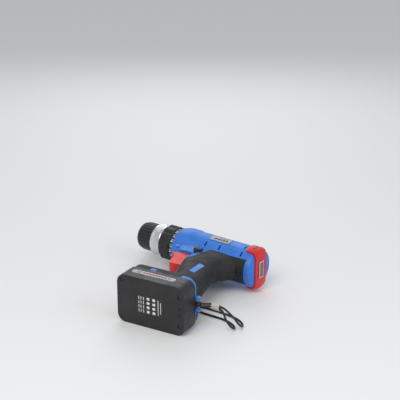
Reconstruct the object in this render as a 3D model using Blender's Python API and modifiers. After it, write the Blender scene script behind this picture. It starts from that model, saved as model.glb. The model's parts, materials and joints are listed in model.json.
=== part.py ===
"""Cordless drill driver with a slide-on battery pack, modelled lying on its right side.

+X runs along the barrel from the chuck to the rear, +Y from the pack to the barrel's top, and
+Z from the drill's right side to its left side. Sizes are in metres. Every piece is placed from
the point where the barrel's axis meets the front of the blue housing.
"""

import math

import bmesh
import bpy
from mathutils import Matrix, Vector

# ---------------------------------------------------------------- clearances
GAP = 0.0003
RUN = 0.0005
OVER = 0.004

# ---------------------------------------------------------------- housing
BARREL_LENGTH = 0.126
BARREL_RADIUS = 0.0260
NOSE_RADIUS = 0.0240
BULGE_RADIUS = 0.0270
BULGE_END = 0.027
REAR_ROUND = 0.005
CAVITY_RADIUS = 0.0214
NOSE_WALL = 0.0022
NOSE_BORE_RADIUS = 0.0150
WALL = 0.0022
GRIP_SKIN = 0.0016
BARREL_SIDES = 36

# ---------------------------------------------------------------- battery pack and foot
PACK_LENGTH = 0.094
PACK_WIDTH = 0.063
PACK_HEIGHT = 0.0268
PACK_TILT = math.radians(7.5)
PACK_CORNER = 0.011
PACK_WALL = 0.0020
FOOT_HEIGHT = 0.0105
FOOT_SETBACK = 0.0060
PACK_CENTRE_X = 0.0813
PACK_BASE_Y = -0.1653
TRAY_HEIGHT = 0.0110
TONGUE_WIDTH = 0.036
TONGUE_LENGTH = 0.066
TONGUE_HEIGHT = 0.0060
CELL_RADIUS = 0.00925
CELL_LENGTH = 0.065
CELL_PITCH = 0.0190
SIDE_LABEL_SIZE = (0.060, 0.0085)
STICKER_SIZE = (0.038, 0.026)
LABEL_THICKNESS = 0.0006
PACK_SCREW_RADIUS = 0.0028

# ---------------------------------------------------------------- chuck and torque collar
SLEEVE_FRONT = -0.0665
SLEEVE_RADIUS = 0.0192
RING_RADIUS = 0.0215
RING_WIDTH = 0.0160
SLEEVE_LENGTH = 0.0260
CHUCK_BODY_RADIUS = 0.0145
CHUCK_BODY_LENGTH = 0.0440
JAW_RADIUS = 0.0034
JAW_LENGTH = 0.0290
JAW_ANGLE = math.radians(17.0)
JAW_TRAVEL = 0.0110
JAW_OPEN = 0.0085
JAW_COUNT = 3
SPINDLE_RADIUS = 0.0048
THREAD_LENGTH = 0.0085
COLLAR_RADIUS = 0.0240
COLLAR_LENGTH = 0.0180
BAND_RADIUS = 0.0222
COLLAR_WALL = 0.0022
GEAR_NOSE_RADIUS = 0.0120

# ---------------------------------------------------------------- gear train and motor
GEAR_MODULE = 0.0009
SUN_TEETH = 9
PLANET_TEETH = 12
RING_TEETH = 33
PLANET_COUNT = 3
GEAR_WIDTH = 0.0080
STAGE_PITCH = 0.0150
STAGE_ONE_X = 0.0400
GEARCASE_RADIUS = 0.0206
GEARCASE_WALL = 0.0018
GEARCASE_END = 0.0555
MOTOR_FRONT = 0.0560
MOTOR_LENGTH = 0.0500
MOTOR_RADIUS = 0.0180
ROTOR_RADIUS = 0.0120
SHAFT_RADIUS = 0.0016
END_CAP = 0.0030

# ---------------------------------------------------------------- controls and trim
TRIGGER_WIDTH = 0.022
TRIGGER_TRAVEL = 0.006
SLIDER_SIZE = (0.0110, 0.0065)
SLIDER_X = 0.0506
SLIDER_Y = -0.0310
SELECTOR_X = 0.0560
SELECTOR_TRAVEL = 0.0060
PAD_HEIGHT = 0.0030
BELT_WIDTH = 0.0230
BELT_THICKNESS = 0.0016
BELT_REACH = 0.0150
BADGE_SIZE = (0.030, 0.0115)
EAR_SPACING = 0.0150
EAR_THICKNESS = 0.0036
EAR_REACH = 0.0090
PIN_RADIUS = 0.0013
CORD_RADIUS = 0.0013
LEAD_RADIUS = 0.0009

# outline of the handle: height, front, rear, half width
HANDLE = (
    (-0.0140, 0.0450, 0.1100, 0.0180),
    (-0.0270, 0.0410, 0.1060, 0.0180),
    (-0.0360, 0.0395, 0.0975, 0.0178),
    (-0.0470, 0.0395, 0.0930, 0.0172),
    (-0.0600, 0.0435, 0.0945, 0.0168),
    (-0.0750, 0.0505, 0.0995, 0.0167),
    (-0.0900, 0.0585, 0.1050, 0.0168),
    (-0.1050, 0.0655, 0.1095, 0.0173),
    (-0.1170, 0.0680, 0.1130, 0.0190),
    (-0.1270, 0.0600, 0.1150, 0.0230),
    (-0.1320, 0.0520, 0.1155, 0.0255),
)
CHIN = (
    (-0.0120, 0.0040, 0.0600, 0.0165),
    (-0.0230, 0.0050, 0.0600, 0.0160),
    (-0.0310, 0.0095, 0.0590, 0.0152),
    (-0.0362, 0.0170, 0.0570, 0.0145),
)
# side outline of the soft grip
GRIP_EDGE = (
    (0.0625, -0.0205), (0.1180, -0.0195), (0.1180, -0.0400), (0.1300, -0.0700), (0.1400, -0.1650),
    (0.0200, -0.1700), (0.0200, -0.1350), (0.0600, -0.1180), (0.0685, -0.1060), (0.0620, -0.0900),
    (0.0540, -0.0750), (0.0470, -0.0610), (0.0455, -0.0560), (0.0490, -0.0520), (0.0545, -0.0500),
    (0.0575, -0.0440), (0.0590, -0.0330),
)
INLAY = ((0.0765, -0.0620), (0.0845, -0.0620), (0.0880, -0.0880), (0.0800, -0.0880))
FOOT_KEY = (-0.0185, -0.0095, 0.0282, 0.0335)

# wrist cord: places from the strap pin's middle, along one strand to the loop's end and back along the other
KNOT_SIZE = (0.0072, 0.0066, 0.0068)
CRIMP_START = 0.0160
CRIMP_END = 0.0270
CRIMP_SIDE = 0.0070
CRIMP_WALL = 0.0009
CORD_STRAND = CORD_RADIUS + 0.00035
CORD_FLOOR = -PACK_WIDTH / 2 + CORD_RADIUS + 0.0001
CORD_SPACING = 0.0062
CORD_ROUTE = (
    (0.0041, 0.0006, -CORD_STRAND), (0.0080, 0.0026, -CORD_STRAND), (0.0115, 0.0052, -CORD_STRAND),
    (0.0150, CRIMP_SIDE, -CORD_STRAND), (0.0215, CRIMP_SIDE, -CORD_STRAND), (0.0280, CRIMP_SIDE,
        -CORD_STRAND),
    (0.0320, 0.0072, -0.0050), (0.0346, 0.0091, -0.0140), (0.0376, 0.0139, -0.0235), (0.0381, 0.0204,
        -0.0288),
    (0.0336, 0.0269, CORD_FLOOR), (0.0246, 0.0314, CORD_FLOOR), (0.0126, 0.0339, CORD_FLOOR),
    (-0.0034, 0.0334, CORD_FLOOR), (-0.0174, 0.0330, CORD_FLOOR), (-0.0280, 0.0345, CORD_FLOOR),
    (-0.0335, 0.0398, CORD_FLOOR), (-0.0280, 0.0450, CORD_FLOOR), (-0.0174, 0.0468, CORD_FLOOR),
    (-0.0034, 0.0474, CORD_FLOOR), (0.0126, 0.0469, CORD_FLOOR), (0.0266, 0.0444, CORD_FLOOR),
    (0.0376, 0.0384, CORD_FLOOR), (0.0426, 0.0304, -0.0288), (0.0431, 0.0229, -0.0225), (0.0406, 0.0169,
        -0.0130),
    (0.0360, 0.0115, -0.0045), (0.0320, 0.0080, 0.0005), (0.0280, CRIMP_SIDE, CORD_STRAND),
    (0.0215, CRIMP_SIDE, CORD_STRAND), (0.0150, CRIMP_SIDE, CORD_STRAND), (0.0115, 0.0052, CORD_STRAND),
    (0.0080, 0.0026, CORD_STRAND), (0.0041, 0.0006, CORD_STRAND),
)

NAME = "cordless_drill"
PARTS = None
CUTTERS = None
ROOT = None
FOOT_FRAME = None
FINISHES = {}

# Places and sizes that follow from those above.
SCREW_PLACES = ((0.0150, -0.0285), (0.0670, -0.0300), (0.0830, -0.1000))
SCREW_RADIUS = 0.0014
SCREW_HEAD_RADIUS = 0.0028
SCREW_LENGTH = 0.0200
SCREW_SEAT = -0.0120
TONGUE_NECK = 0.030
TONGUE_REAR = 0.022
TONGUE_FRONT = TONGUE_REAR - TONGUE_LENGTH
BAND_FRONT = 0.0260
TRIGGER_TOP = -0.0378
TRIGGER_OUTLINE = (
    (0.0385, -0.0378), (0.0550, -0.0378), (0.0550, -0.0700), (0.0460, -0.0715), (0.0375, -0.0722),
    (0.0345, -0.0708), (0.0325, -0.0668), (0.0308, -0.0615), (0.0296, -0.0560), (0.0272, -0.0510),
    (0.0228, -0.0475), (0.0196, -0.0458), (0.0192, -0.0436), (0.0215, -0.0412),
)
SPINDLE_REAR = 0.0200
COLLAR_BORE = 0.0166
SUN_PITCH = SUN_TEETH * GEAR_MODULE / 2
PLANET_PITCH = PLANET_TEETH * GEAR_MODULE / 2
RING_PITCH = RING_TEETH * GEAR_MODULE / 2
CENTRE_DISTANCE = SUN_PITCH + PLANET_PITCH
TIP = 0.75 * GEAR_MODULE
ROOT_DEPTH = -1.0 * GEAR_MODULE
PLANET_PIN_RADIUS = 0.0016
PACK_SCREWS = ((-0.0400, 0.0250), (-0.0400, -0.0250), (0.0405, 0.0190), (0.0405, -0.0190))
LABEL_CENTRE = (-0.0043, 0.0157)
BUTTON_SIZE = (0.0050, 0.0075, 0.0380)
BUTTON_HEIGHT = 0.0190


# ---------------------------------------------------------------- scene and finishes
def clear_scene():
    """Remove every object that the file starts with."""
    for obj in list(bpy.data.objects):
        bpy.data.objects.remove(obj, do_unlink=True)


def new_collection(name, hidden=False):
    """Add a collection under the scene."""
    made = bpy.data.collections.new(name)
    bpy.context.scene.collection.children.link(made)
    made.hide_render = hidden
    return made


def empty(name, location, parent=None, turn=0.0):
    """Add an empty that other pieces hang from, turned about Z."""
    frame = bpy.data.objects.new(name, None)
    PARTS.objects.link(frame)
    frame.location = location
    frame.rotation_euler = (0, 0, turn)
    frame.parent = parent
    return frame


def finish(name, colour, roughness, metallic=0.0):
    """Make one Principled material."""
    made = bpy.data.materials.new(name)
    made.use_nodes = True
    shader = made.node_tree.nodes["Principled BSDF"]
    shader.inputs["Base Color"].default_value = (*colour, 1.0)
    shader.inputs["Roughness"].default_value = roughness
    shader.inputs["Metallic"].default_value = metallic
    made.diffuse_color = (*colour, 1.0)
    FINISHES[name] = made


def make_finishes():
    """All the finishes, by plain name."""
    finish("blue_plastic", (0.03, 0.19, 0.75), 0.42)
    finish("black_rubber", (0.018, 0.018, 0.02), 0.72)
    finish("black_plastic", (0.02, 0.02, 0.022), 0.5)
    finish("red_plastic", (0.80, 0.03, 0.03), 0.42)
    finish("bright_metal", (0.78, 0.78, 0.80), 0.28, 1.0)
    finish("steel", (0.45, 0.46, 0.48), 0.38, 1.0)
    finish("dark_steel", (0.16, 0.16, 0.17), 0.42, 1.0)
    finish("copper", (0.72, 0.34, 0.17), 0.35, 1.0)
    finish("zinc", (0.62, 0.64, 0.66), 0.35, 1.0)
    finish("grey_label", (0.62, 0.63, 0.64), 0.35)
    finish("sticker", (0.03, 0.03, 0.03), 0.35)
    finish("cell_wrap", (0.08, 0.42, 0.30), 0.4)
    finish("board_green", (0.02, 0.20, 0.08), 0.5)
    finish("gear_grey", (0.30, 0.30, 0.31), 0.5, 0.6)
    finish("pale_crimp", (0.85, 0.86, 0.88), 0.3)
    finish("black_cord", (0.015, 0.015, 0.016), 0.85)
    finish("red_wire", (0.55, 0.03, 0.02), 0.5)
    finish("black_wire", (0.03, 0.03, 0.03), 0.5)


def add(name, mesh, colour=None, parent=None, location=(0, 0, 0), rotation=(0, 0, 0)):
    """Place a mesh as a part, or as a hidden cutter when it has no finish."""
    obj = bpy.data.objects.new(name, mesh)
    obj.location = location
    obj.rotation_euler = rotation
    obj.parent = parent or ROOT
    if colour is None:
        CUTTERS.objects.link(obj)
        obj.hide_render = True
        obj.display_type = "WIRE"
    else:
        PARTS.objects.link(obj)
        mesh.materials.clear()
        mesh.materials.append(FINISHES[colour])
    return obj


def to_mesh(name, bm, smooth=True):
    """Turn a bmesh into a mesh whose faces point out, with sharp edges kept."""
    bmesh.ops.recalc_face_normals(bm, faces=bm.faces)
    mesh = bpy.data.meshes.new(name)
    bm.to_mesh(mesh)
    bm.free()
    if smooth:
        mesh.shade_smooth()
        mesh.set_sharp_from_angle(angle=math.radians(35))
    return mesh


# ---------------------------------------------------------------- shape helpers
def turned(name, outer, inner=None, colour=None, sides=BARREL_SIDES, x=0.0, parent=None):
    """A piece turned about the barrel's axis.

    outer and inner are (x, radius) points from front to rear; without inner the piece is solid.
    """
    loop = [(place, radius) for place, radius in reversed(outer)]
    if inner:
        loop += list(inner)
    else:
        loop = [(outer[-1][0], 0.0)] + loop + [(outer[0][0], 0.0)]
    mesh = bpy.data.meshes.new(name)
    ends = len(loop)
    edges = [(i, i + 1) for i in range(ends - 1)] + ([(ends - 1, 0)] if inner else [])
    mesh.from_pydata([(radius, 0, place) for place, radius in loop], edges, [])
    obj = add(name, mesh, colour, parent, (x, 0, 0), (0, math.radians(90), 0))
    screw = obj.modifiers.new("turn", "SCREW")
    screw.steps = sides
    screw.render_steps = sides
    screw.use_merge_vertices = True
    screw.merge_threshold = 0.00001
    screw.use_smooth_shade = True
    return obj


def block(name, size, centre, colour=None, round_by=0.0, segments=2, parent=None, edges="all"):
    """A box with rounded edges. edges may be all, or the one axis whose edges are rounded."""
    bm = bmesh.new()
    bmesh.ops.create_cube(bm, size=1.0)
    bmesh.ops.scale(bm, vec=size, verts=bm.verts)
    if round_by:
        chosen = bm.edges[:]
        if edges != "all":
            axis = "xyz".index(edges)
            chosen = [e for e in bm.edges if abs((e.verts[0].co - e.verts[1].co)[axis]) > size[axis] / 2]
        bmesh.ops.bevel(bm, geom=chosen, offset=round_by, segments=segments, profile=0.5, affect="EDGES")
    return add(name, to_mesh(name, bm), colour, parent, centre)


def cylinder(name, radius, length, centre, axis="z", colour=None, sides=20, parent=None):
    """A plain round bar along one axis."""
    bm = bmesh.new()
    bmesh.ops.create_cone(bm, cap_ends=True, segments=sides, radius1=radius, radius2=radius, depth=length)
    turns = {"x": (0, math.radians(90), 0), "y": (math.radians(90), 0, 0), "z": (0, 0, 0)}
    return add(name, to_mesh(name, bm), colour, parent, centre, turns[axis])


def plate(name, outline, low, high, colour=None, parent=None, plane="xy", holes=(), location=(0, 0, 0)):
    """A flat outline, with any holes, pushed from low to high along the axis its plane leaves out."""
    curve = bpy.data.curves.new(name, "CURVE")
    curve.dimensions = "2D"
    curve.fill_mode = "BOTH"
    curve.extrude = (high - low) / 2
    for loop in (outline, *holes):
        spline = curve.splines.new("POLY")
        spline.points.add(len(loop) - 1)
        for point, (a, b) in zip(spline.points, loop):
            point.co = (a, b, 0, 1)
        spline.use_cyclic_u = True
    guide = bpy.data.objects.new(name + "_guide", curve)
    bpy.context.scene.collection.objects.link(guide)
    bpy.context.view_layer.update()
    graph = bpy.context.evaluated_depsgraph_get()
    made = bpy.data.meshes.new_from_object(guide.evaluated_get(graph))
    bpy.data.objects.remove(guide)
    bm = bmesh.new()
    bm.from_mesh(made)
    bpy.data.meshes.remove(made)
    bmesh.ops.remove_doubles(bm, verts=bm.verts, dist=0.00001)
    middle = (low + high) / 2
    turns = {
        "xy": Matrix.Translation((0, 0, middle)),
        "yz": Matrix(((0, 0, 1, middle), (1, 0, 0, 0), (0, 1, 0, 0), (0, 0, 0, 1))),
        "xz": Matrix(((1, 0, 0, 0), (0, 0, 1, middle), (0, 1, 0, 0), (0, 0, 0, 1))),
    }
    bmesh.ops.transform(bm, matrix=turns[plane], verts=bm.verts)
    return add(name, to_mesh(name, bm), colour, parent, location)


def loft(name, sections, colour=None, parent=None, sides=24, power=2.6):
    """A closed skin over rounded sections (y, front x, rear x, half width), from top to bottom."""
    bm = bmesh.new()
    rings = []
    for y, front, rear, half in sections:
        ring = []
        for i in range(sides):
            angle = 2 * math.pi * i / sides
            c, s = math.cos(angle), math.sin(angle)
            along = math.copysign(abs(c) ** (2 / power), c)
            across = math.copysign(abs(s) ** (2 / power), s)
            ring.append(bm.verts.new(((front + rear) / 2 + along * (rear - front) / 2, y, across * half)))
        rings.append(ring)
    for upper, lower in zip(rings, rings[1:]):
        for i in range(sides):
            j = (i + 1) % sides
            bm.faces.new((upper[i], upper[j], lower[j], lower[i]))
    bm.faces.new(rings[0])
    bm.faces.new(rings[-1])
    return add(name, to_mesh(name, bm), colour, parent)


def rod(name, points, radius, colour, parent=None, resolution=2):
    """A round rod or wire along a list of points."""
    curve = bpy.data.curves.new(name, "CURVE")
    curve.dimensions = "3D"
    curve.bevel_depth = radius
    curve.bevel_resolution = resolution
    curve.use_fill_caps = True
    spline = curve.splines.new("POLY")
    spline.points.add(len(points) - 1)
    for point, place in zip(spline.points, points):
        point.co = (*place, 1)
    return add(name, curve, colour, parent)


def smooth_route(points, spacing):
    """Even points along a smooth curve through the given points."""
    knots = [Vector(p) for p in points]
    knots = [knots[0] * 2 - knots[1]] + knots + [knots[-1] * 2 - knots[-2]]
    fine = []
    for a, b, c, d in zip(knots, knots[1:], knots[2:], knots[3:]):
        for step in range(12):
            t = step / 12
            fine.append(
                0.5 * (2 * b + (c - a) * t + (2 * a - 5 * b + 4 * c - d) * t * t + (3 * b - a - 3 * c + d) * t**3)
            )
    fine.append(knots[-2])
    total = sum((b - a).length for a, b in zip(fine, fine[1:]))
    count = max(2, round(total / spacing))
    route, walked, wanted = [fine[0]], 0.0, 1
    for a, b in zip(fine, fine[1:]):
        length = (b - a).length
        while wanted < count and walked + length >= total * wanted / count:
            route.append(a.lerp(b, (total * wanted / count - walked) / length))
            wanted += 1
        walked += length
    return route + [fine[-1]]


def combine(obj, operation, *others, solver="EXACT"):
    """Add one Boolean for each other piece."""
    for other in others:
        step = obj.modifiers.new(operation.lower(), "BOOLEAN")
        step.operation = operation
        step.object = other
        step.solver = solver
    return obj


def cut(obj, *cutters, solver="EXACT"):
    """Take the cutters away from a piece."""
    return combine(obj, "DIFFERENCE", *cutters, solver=solver)


def join(obj, *others, solver="EXACT"):
    """Add the others to a piece."""
    return combine(obj, "UNION", *others, solver=solver)


def settle(obj):
    """Keep a piece's evaluated shape as its own mesh, so that later copies are cheap."""
    bpy.context.view_layer.update()
    graph = bpy.context.evaluated_depsgraph_get()
    mesh = bpy.data.meshes.new_from_object(obj.evaluated_get(graph))
    mesh.transform(obj.matrix_basis)
    obj.modifiers.clear()
    obj.data = mesh
    obj.matrix_basis = Matrix.Identity(4)
    mesh.shade_smooth()
    mesh.set_sharp_from_angle(angle=math.radians(35))
    return obj


def rounded_outline(x0, x1, z0, z1, radius, steps=4):
    """A rectangle with round corners, as points."""
    centres = ((x1 - radius, z1 - radius, 0), (x0 + radius, z1 - radius, 90),
        (x0 + radius, z0 + radius, 180), (x1 - radius, z0 + radius, 270))
    points = []
    for x, z, start in centres:
        for i in range(steps + 1):
            angle = math.radians(start + 90 * i / steps)
            points.append((x + radius * math.cos(angle), z + radius * math.sin(angle)))
    return points


# ---------------------------------------------------------------- the housing's nested forms
def barrel(name, inset):
    """The barrel's round form, smaller by inset all over."""
    front, rear = inset, BARREL_LENGTH - inset
    outer = [
        (front, NOSE_RADIUS - inset),
        (front + 0.0025, NOSE_RADIUS + 0.0012 - inset),
        (0.0110, BULGE_RADIUS - inset),
        (BULGE_END - 0.0030, BULGE_RADIUS - inset),
        (BULGE_END, BARREL_RADIUS - inset),
        (rear - REAR_ROUND, BARREL_RADIUS - inset),
        (rear - REAR_ROUND * 0.3, BARREL_RADIUS - inset - REAR_ROUND * 0.3),
        (rear, BARREL_RADIUS - inset - REAR_ROUND),
    ]
    return turned(name, outer)


def shrunk(sections, inset, lift=False):
    """Loft sections smaller by inset. With lift, the lowest one rises by as much."""
    out = [(y, front + inset, rear - inset, half - inset) for y, front, rear, half in sections]
    if lift:
        out[-1] = (out[-1][0] + inset, *out[-1][1:])
    return out


def foot_form(name, inset, low):
    """The foot's rounded block, smaller by inset, from the height low above the pack's base."""
    half = PACK_WIDTH / 2 - 0.0008 - inset
    front = -PACK_LENGTH / 2 + 0.0015 + inset
    rear = PACK_LENGTH / 2 - FOOT_SETBACK * 0.5 - inset
    outline = rounded_outline(front, rear, -half, half, PACK_CORNER - inset)
    high = PACK_HEIGHT + FOOT_HEIGHT - inset
    return plate(name, outline, low, high, parent=FOOT_FRAME, plane="xz")


def form(name, inset, foot_low=PACK_HEIGHT + GAP):
    """Barrel, chin, handle and foot as one closed form."""
    whole = barrel(name, inset)
    chin = loft(name + "_chin", shrunk(CHIN, inset, lift=True))
    handle = loft(name + "_handle", shrunk(HANDLE, inset))
    foot = foot_form(name + "_foot", inset, foot_low)
    return settle(join(whole, chin, handle, foot, solver="MANIFOLD"))


def copy_of(obj, name, colour, parent=None):
    """A new part with its own copy of a settled shape."""
    made = obj.data.copy()
    made.name = name
    return add(name, made, colour, parent or obj.parent, obj.location, obj.rotation_euler)


def halves(whole, left_name, right_name, colour):
    """Cut a settled shape at the parting plane: the left part, and the right part as its mirror image."""
    big = 0.5
    left = copy_of(whole, left_name, colour)
    side = block(left_name + "_side", (big, big, big), (0.03, -0.06, big / 2 + GAP / 2))
    combine(left, "INTERSECT", side, solver="MANIFOLD")
    settle(left)
    left.data.materials.clear()
    left.data.materials.append(FINISHES[colour])
    right = copy_of(left, right_name, colour)
    right.data.transform(Matrix.Scale(-1, 4, (0, 0, 1)))
    right.data.flip_normals()
    return left, right


def window(name, outline, grow=0.0):
    """A prism through the whole width over an outline in the side view, grown from its centre."""
    cx = sum(p[0] for p in outline) / len(outline)
    cy = sum(p[1] for p in outline) / len(outline)
    grown = []
    for x, y in outline:
        away = Vector((x - cx, y - cy))
        away = away * (1 + grow / max(away.length, 0.001))
        grown.append((cx + away.x, cy + away.y))
    return plate(name, grown, -0.04, 0.04)


def vent_cutters():
    """Short slots through both side walls of the barrel."""
    places = ((0.0510, -0.0145), (0.0730, -0.0145), (0.1060, -0.0030), (0.1075, -0.0145))
    return [
        block(f"vent_{i}", (0.0026, 0.0065, 0.08), (x, y, 0))
        for i, (x, y) in enumerate(places)
    ]


def make_housing():
    """Blue clamshell halves, black grip halves, and the inlays that stand through the grip."""
    outer = form("outer_form", 0.0)
    under_grip = form("under_grip_form", GRIP_SKIN, PACK_HEIGHT - OVER)
    core = form("core_form", GRIP_SKIN + GAP)
    cavity = cavity_form(GRIP_SKIN + GAP + WALL)
    zone = plate("grip_zone", GRIP_EDGE, -0.06, 0.06)
    zone_wide = window_around("grip_zone_wide", GRIP_EDGE, GAP)
    band_room = block(
        "band_room",
        (0.040, 0.0078 + GAP, 0.1),
        (BAND_FRONT + 0.020, PACK_HEIGHT + 0.0078 / 2 - OVER / 2, 0),
        parent=FOOT_FRAME,
    )

    skin = copy_of(outer, "skin", None)
    combine(skin, "INTERSECT", zone, solver="MANIFOLD")
    cut(skin, under_grip, solver="MANIFOLD")
    settle(skin)
    inlay_hole = window("inlay_hole", INLAY, GAP)
    key_hole = block("key_hole", (FOOT_KEY[1] - FOOT_KEY[0], FOOT_KEY[3] - FOOT_KEY[2], 0.1),
                     ((FOOT_KEY[0] + FOOT_KEY[1]) / 2, (FOOT_KEY[2] + FOOT_KEY[3]) / 2, 0), parent=FOOT_FRAME)
    trigger_room = trigger_window()
    channel = foot_channel()
    cut(skin, inlay_hole, key_hole, trigger_room, band_room, *channel, solver="MANIFOLD")
    key = block("key_solid", (FOOT_KEY[1] - FOOT_KEY[0] - 2 * GAP, FOOT_KEY[3] - FOOT_KEY[2] - 2 * GAP, 0.1),
                key_hole.location, parent=FOOT_FRAME)
    inserts = copy_of(outer, "inserts", None)
    combine(inserts, "INTERSECT", settle(join(window("inlay_solid", INLAY, 0.0), key)), solver="MANIFOLD")
    cut(inserts, block("insert_gap", (0.5, 0.5, 0.020), (0.03, -0.06, 0)), solver="MANIFOLD")
    settle(inserts)
    _, grip_right = halves(settle(skin), "grip_left", "grip_right", "black_rubber")

    shell = copy_of(outer, "shell", None)
    cut(shell, zone_wide, solver="MANIFOLD")
    join(shell, core, selector_pad(), inserts, solver="MANIFOLD")
    cut(shell, cavity, solver="MANIFOLD")
    settle(shell)
    for place, (x, y) in enumerate(SCREW_PLACES):
        join(shell, cylinder(f"boss_{place}", 0.0034, 0.0290, (x, y, 0), sides=12), solver="MANIFOLD")
    settle(shell)
    cutters = vent_cutters() + [trigger_room, slider_window(), selector_slot(), *channel]
    cutters.append(cylinder("nose_bore", NOSE_BORE_RADIUS, 0.02, (0, 0, 0), "x", sides=32))
    cutters.append(band_room)
    cut(shell, *cutters, solver="MANIFOLD")
    settle(shell)
    left, right = halves(shell, "housing_left", "housing_right", "blue_plastic")
    for place, (x, y) in enumerate(SCREW_PLACES):
        low = SCREW_SEAT - 0.0008
        top = SCREW_SEAT + SCREW_LENGTH + GAP
        shank = cylinder(f"screw_hole_{place}", SCREW_RADIUS + GAP, top - low + 0.002,
            (x, y, (top + low - 0.002) / 2), sides=10)
        head = cylinder(f"head_hole_{place}", SCREW_HEAD_RADIUS + GAP, 0.0250,
            (x, y, SCREW_SEAT + 0.0011 - 0.0125), sides=12)
        cut(left, shank, solver="MANIFOLD")
        cut(right, settle(join(head, shank)), solver="MANIFOLD")
        cut(grip_right, head, solver="MANIFOLD")
    make_screws()


def window_around(name, outline, margin):
    """A prism over an outline with every edge moved out by margin."""
    grown = []
    count = len(outline)
    for i, (x, y) in enumerate(outline):
        before = Vector(outline[i - 1])
        here = Vector((x, y))
        after = Vector(outline[(i + 1) % count])
        first = (here - before).normalized()
        second = (after - here).normalized()
        normal = Vector((first.y + second.y, -first.x - second.x)).normalized()
        turn = max(0.5, math.sqrt(max(0.0, (1 + first.dot(second)) / 2)))
        grown.append((x - normal.x * margin / turn, y - normal.y * margin / turn))
    return plate(name, grown, -0.06, 0.06)


def cavity_form(inset):
    """The hollow inside: a round bore for gears and motor, the handle's hollow and the foot's."""
    rear = BARREL_LENGTH - inset
    hollow = turned("cavity", [(NOSE_WALL, CAVITY_RADIUS), (rear, CAVITY_RADIUS)], sides=32)
    handle = loft("cavity_handle", shrunk(HANDLE, inset))
    foot = foot_form("cavity_foot", inset, PACK_HEIGHT + GAP + 0.0026)
    return settle(join(hollow, handle, foot, solver="MANIFOLD"))


def foot_channel():
    """The slot that the pack's tongue slides along, open at the foot's front."""
    front, rear = -0.08, TONGUE_REAR + 0.0006
    low = PACK_HEIGHT - OVER
    middle = (front + rear) / 2
    mouth = block("tongue_mouth", (rear - front, 0.008, TONGUE_NECK + 2 * RUN), (middle, low + 0.004, 0),
        parent=FOOT_FRAME)
    exit_low = PACK_HEIGHT + 0.0032 - RUN
    exit_high = PACK_HEIGHT + TONGUE_HEIGHT + RUN
    way_out = block(
        "tongue_exit",
        (0.050, exit_high - exit_low, TONGUE_WIDTH + 2 * RUN),
        (-PACK_LENGTH / 2 - 0.010, (exit_low + exit_high) / 2, 0),
        parent=FOOT_FRAME,
    )
    return [mouth, way_out]


def selector_pad():
    """Raised pad on the barrel's top that carries the speed selector."""
    height = 0.012
    top = BARREL_RADIUS + PAD_HEIGHT
    return block("selector_pad", (0.024, height, 0.026), (SELECTOR_X, top - height / 2, 0), round_by=0.0025)


def selector_slot():
    """Pocket in the pad, longer than the selector by its travel."""
    depth = 0.0030
    top = BARREL_RADIUS + PAD_HEIGHT
    length = 0.0080 + SELECTOR_TRAVEL + 2 * RUN
    return block("selector_slot", (length, 2 * depth, 0.0120 + 2 * RUN),
        (SELECTOR_X + SELECTOR_TRAVEL / 2, top, 0))


def make_selector():
    """Sliding speed selector with a raised finger bar."""
    top = BARREL_RADIUS + PAD_HEIGHT
    base = block("speed_selector", (0.0080, 0.0024, 0.0120), (SELECTOR_X, top - 0.0030 + GAP + 0.0012, 0),
        "black_plastic", 0.0005, 1)
    ridge = block("selector_ridge", (0.0030, 0.0030, 0.0100), (SELECTOR_X, top - 0.0008, 0),
        round_by=0.0006, segments=1)
    join(base, ridge)


def slider_window():
    """Opening through both side walls for the direction slider."""
    length, height = SLIDER_SIZE
    return block("slider_window", (length + 2 * RUN, height + 2 * RUN, 0.09), (SLIDER_X, SLIDER_Y, 0))


def make_slider():
    """Direction slider, a bar that stands out of both sides by its travel."""
    length, height = SLIDER_SIZE
    block("direction_slider", (length, height, 0.0410), (SLIDER_X, SLIDER_Y, 0), "black_plastic", 0.0012, 2)


def trigger_window():
    """Opening in the handle's front that the trigger slides into."""
    low = min(y for _, y in TRIGGER_OUTLINE) - RUN
    high = TRIGGER_TOP + RUN
    rear = 0.0550 + TRIGGER_TRAVEL + RUN
    return block(
        "trigger_window",
        (rear - 0.010, high - low, TRIGGER_WIDTH + 2 * RUN),
        ((rear + 0.010) / 2, (high + low) / 2, 0),
    )


def make_trigger():
    """Trigger with its concave front, and the switch that it presses."""
    half = TRIGGER_WIDTH / 2
    trigger = plate("trigger", TRIGGER_OUTLINE, -half, half, "red_plastic")
    trigger.data.shade_flat()
    front = 0.0550 + TRIGGER_TRAVEL + 2 * RUN
    block("trigger_switch", (0.0200, 0.0240, 0.0180), (front + 0.0100, -0.0540, 0), "black_plastic", 0.001, 1)


def make_screws():
    """The case screws, driven in from the right side."""
    for place, (x, y) in enumerate(SCREW_PLACES, 1):
        screw = cylinder(f"housing_screw_{place}", SCREW_HEAD_RADIUS, 0.0016, (x, y, SCREW_SEAT), "z",
            "zinc", 10)
        shank_place = (x, y, SCREW_SEAT + SCREW_LENGTH / 2)
        join(screw, cylinder(f"shank_{place}", SCREW_RADIUS, SCREW_LENGTH, shank_place, sides=8))


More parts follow.
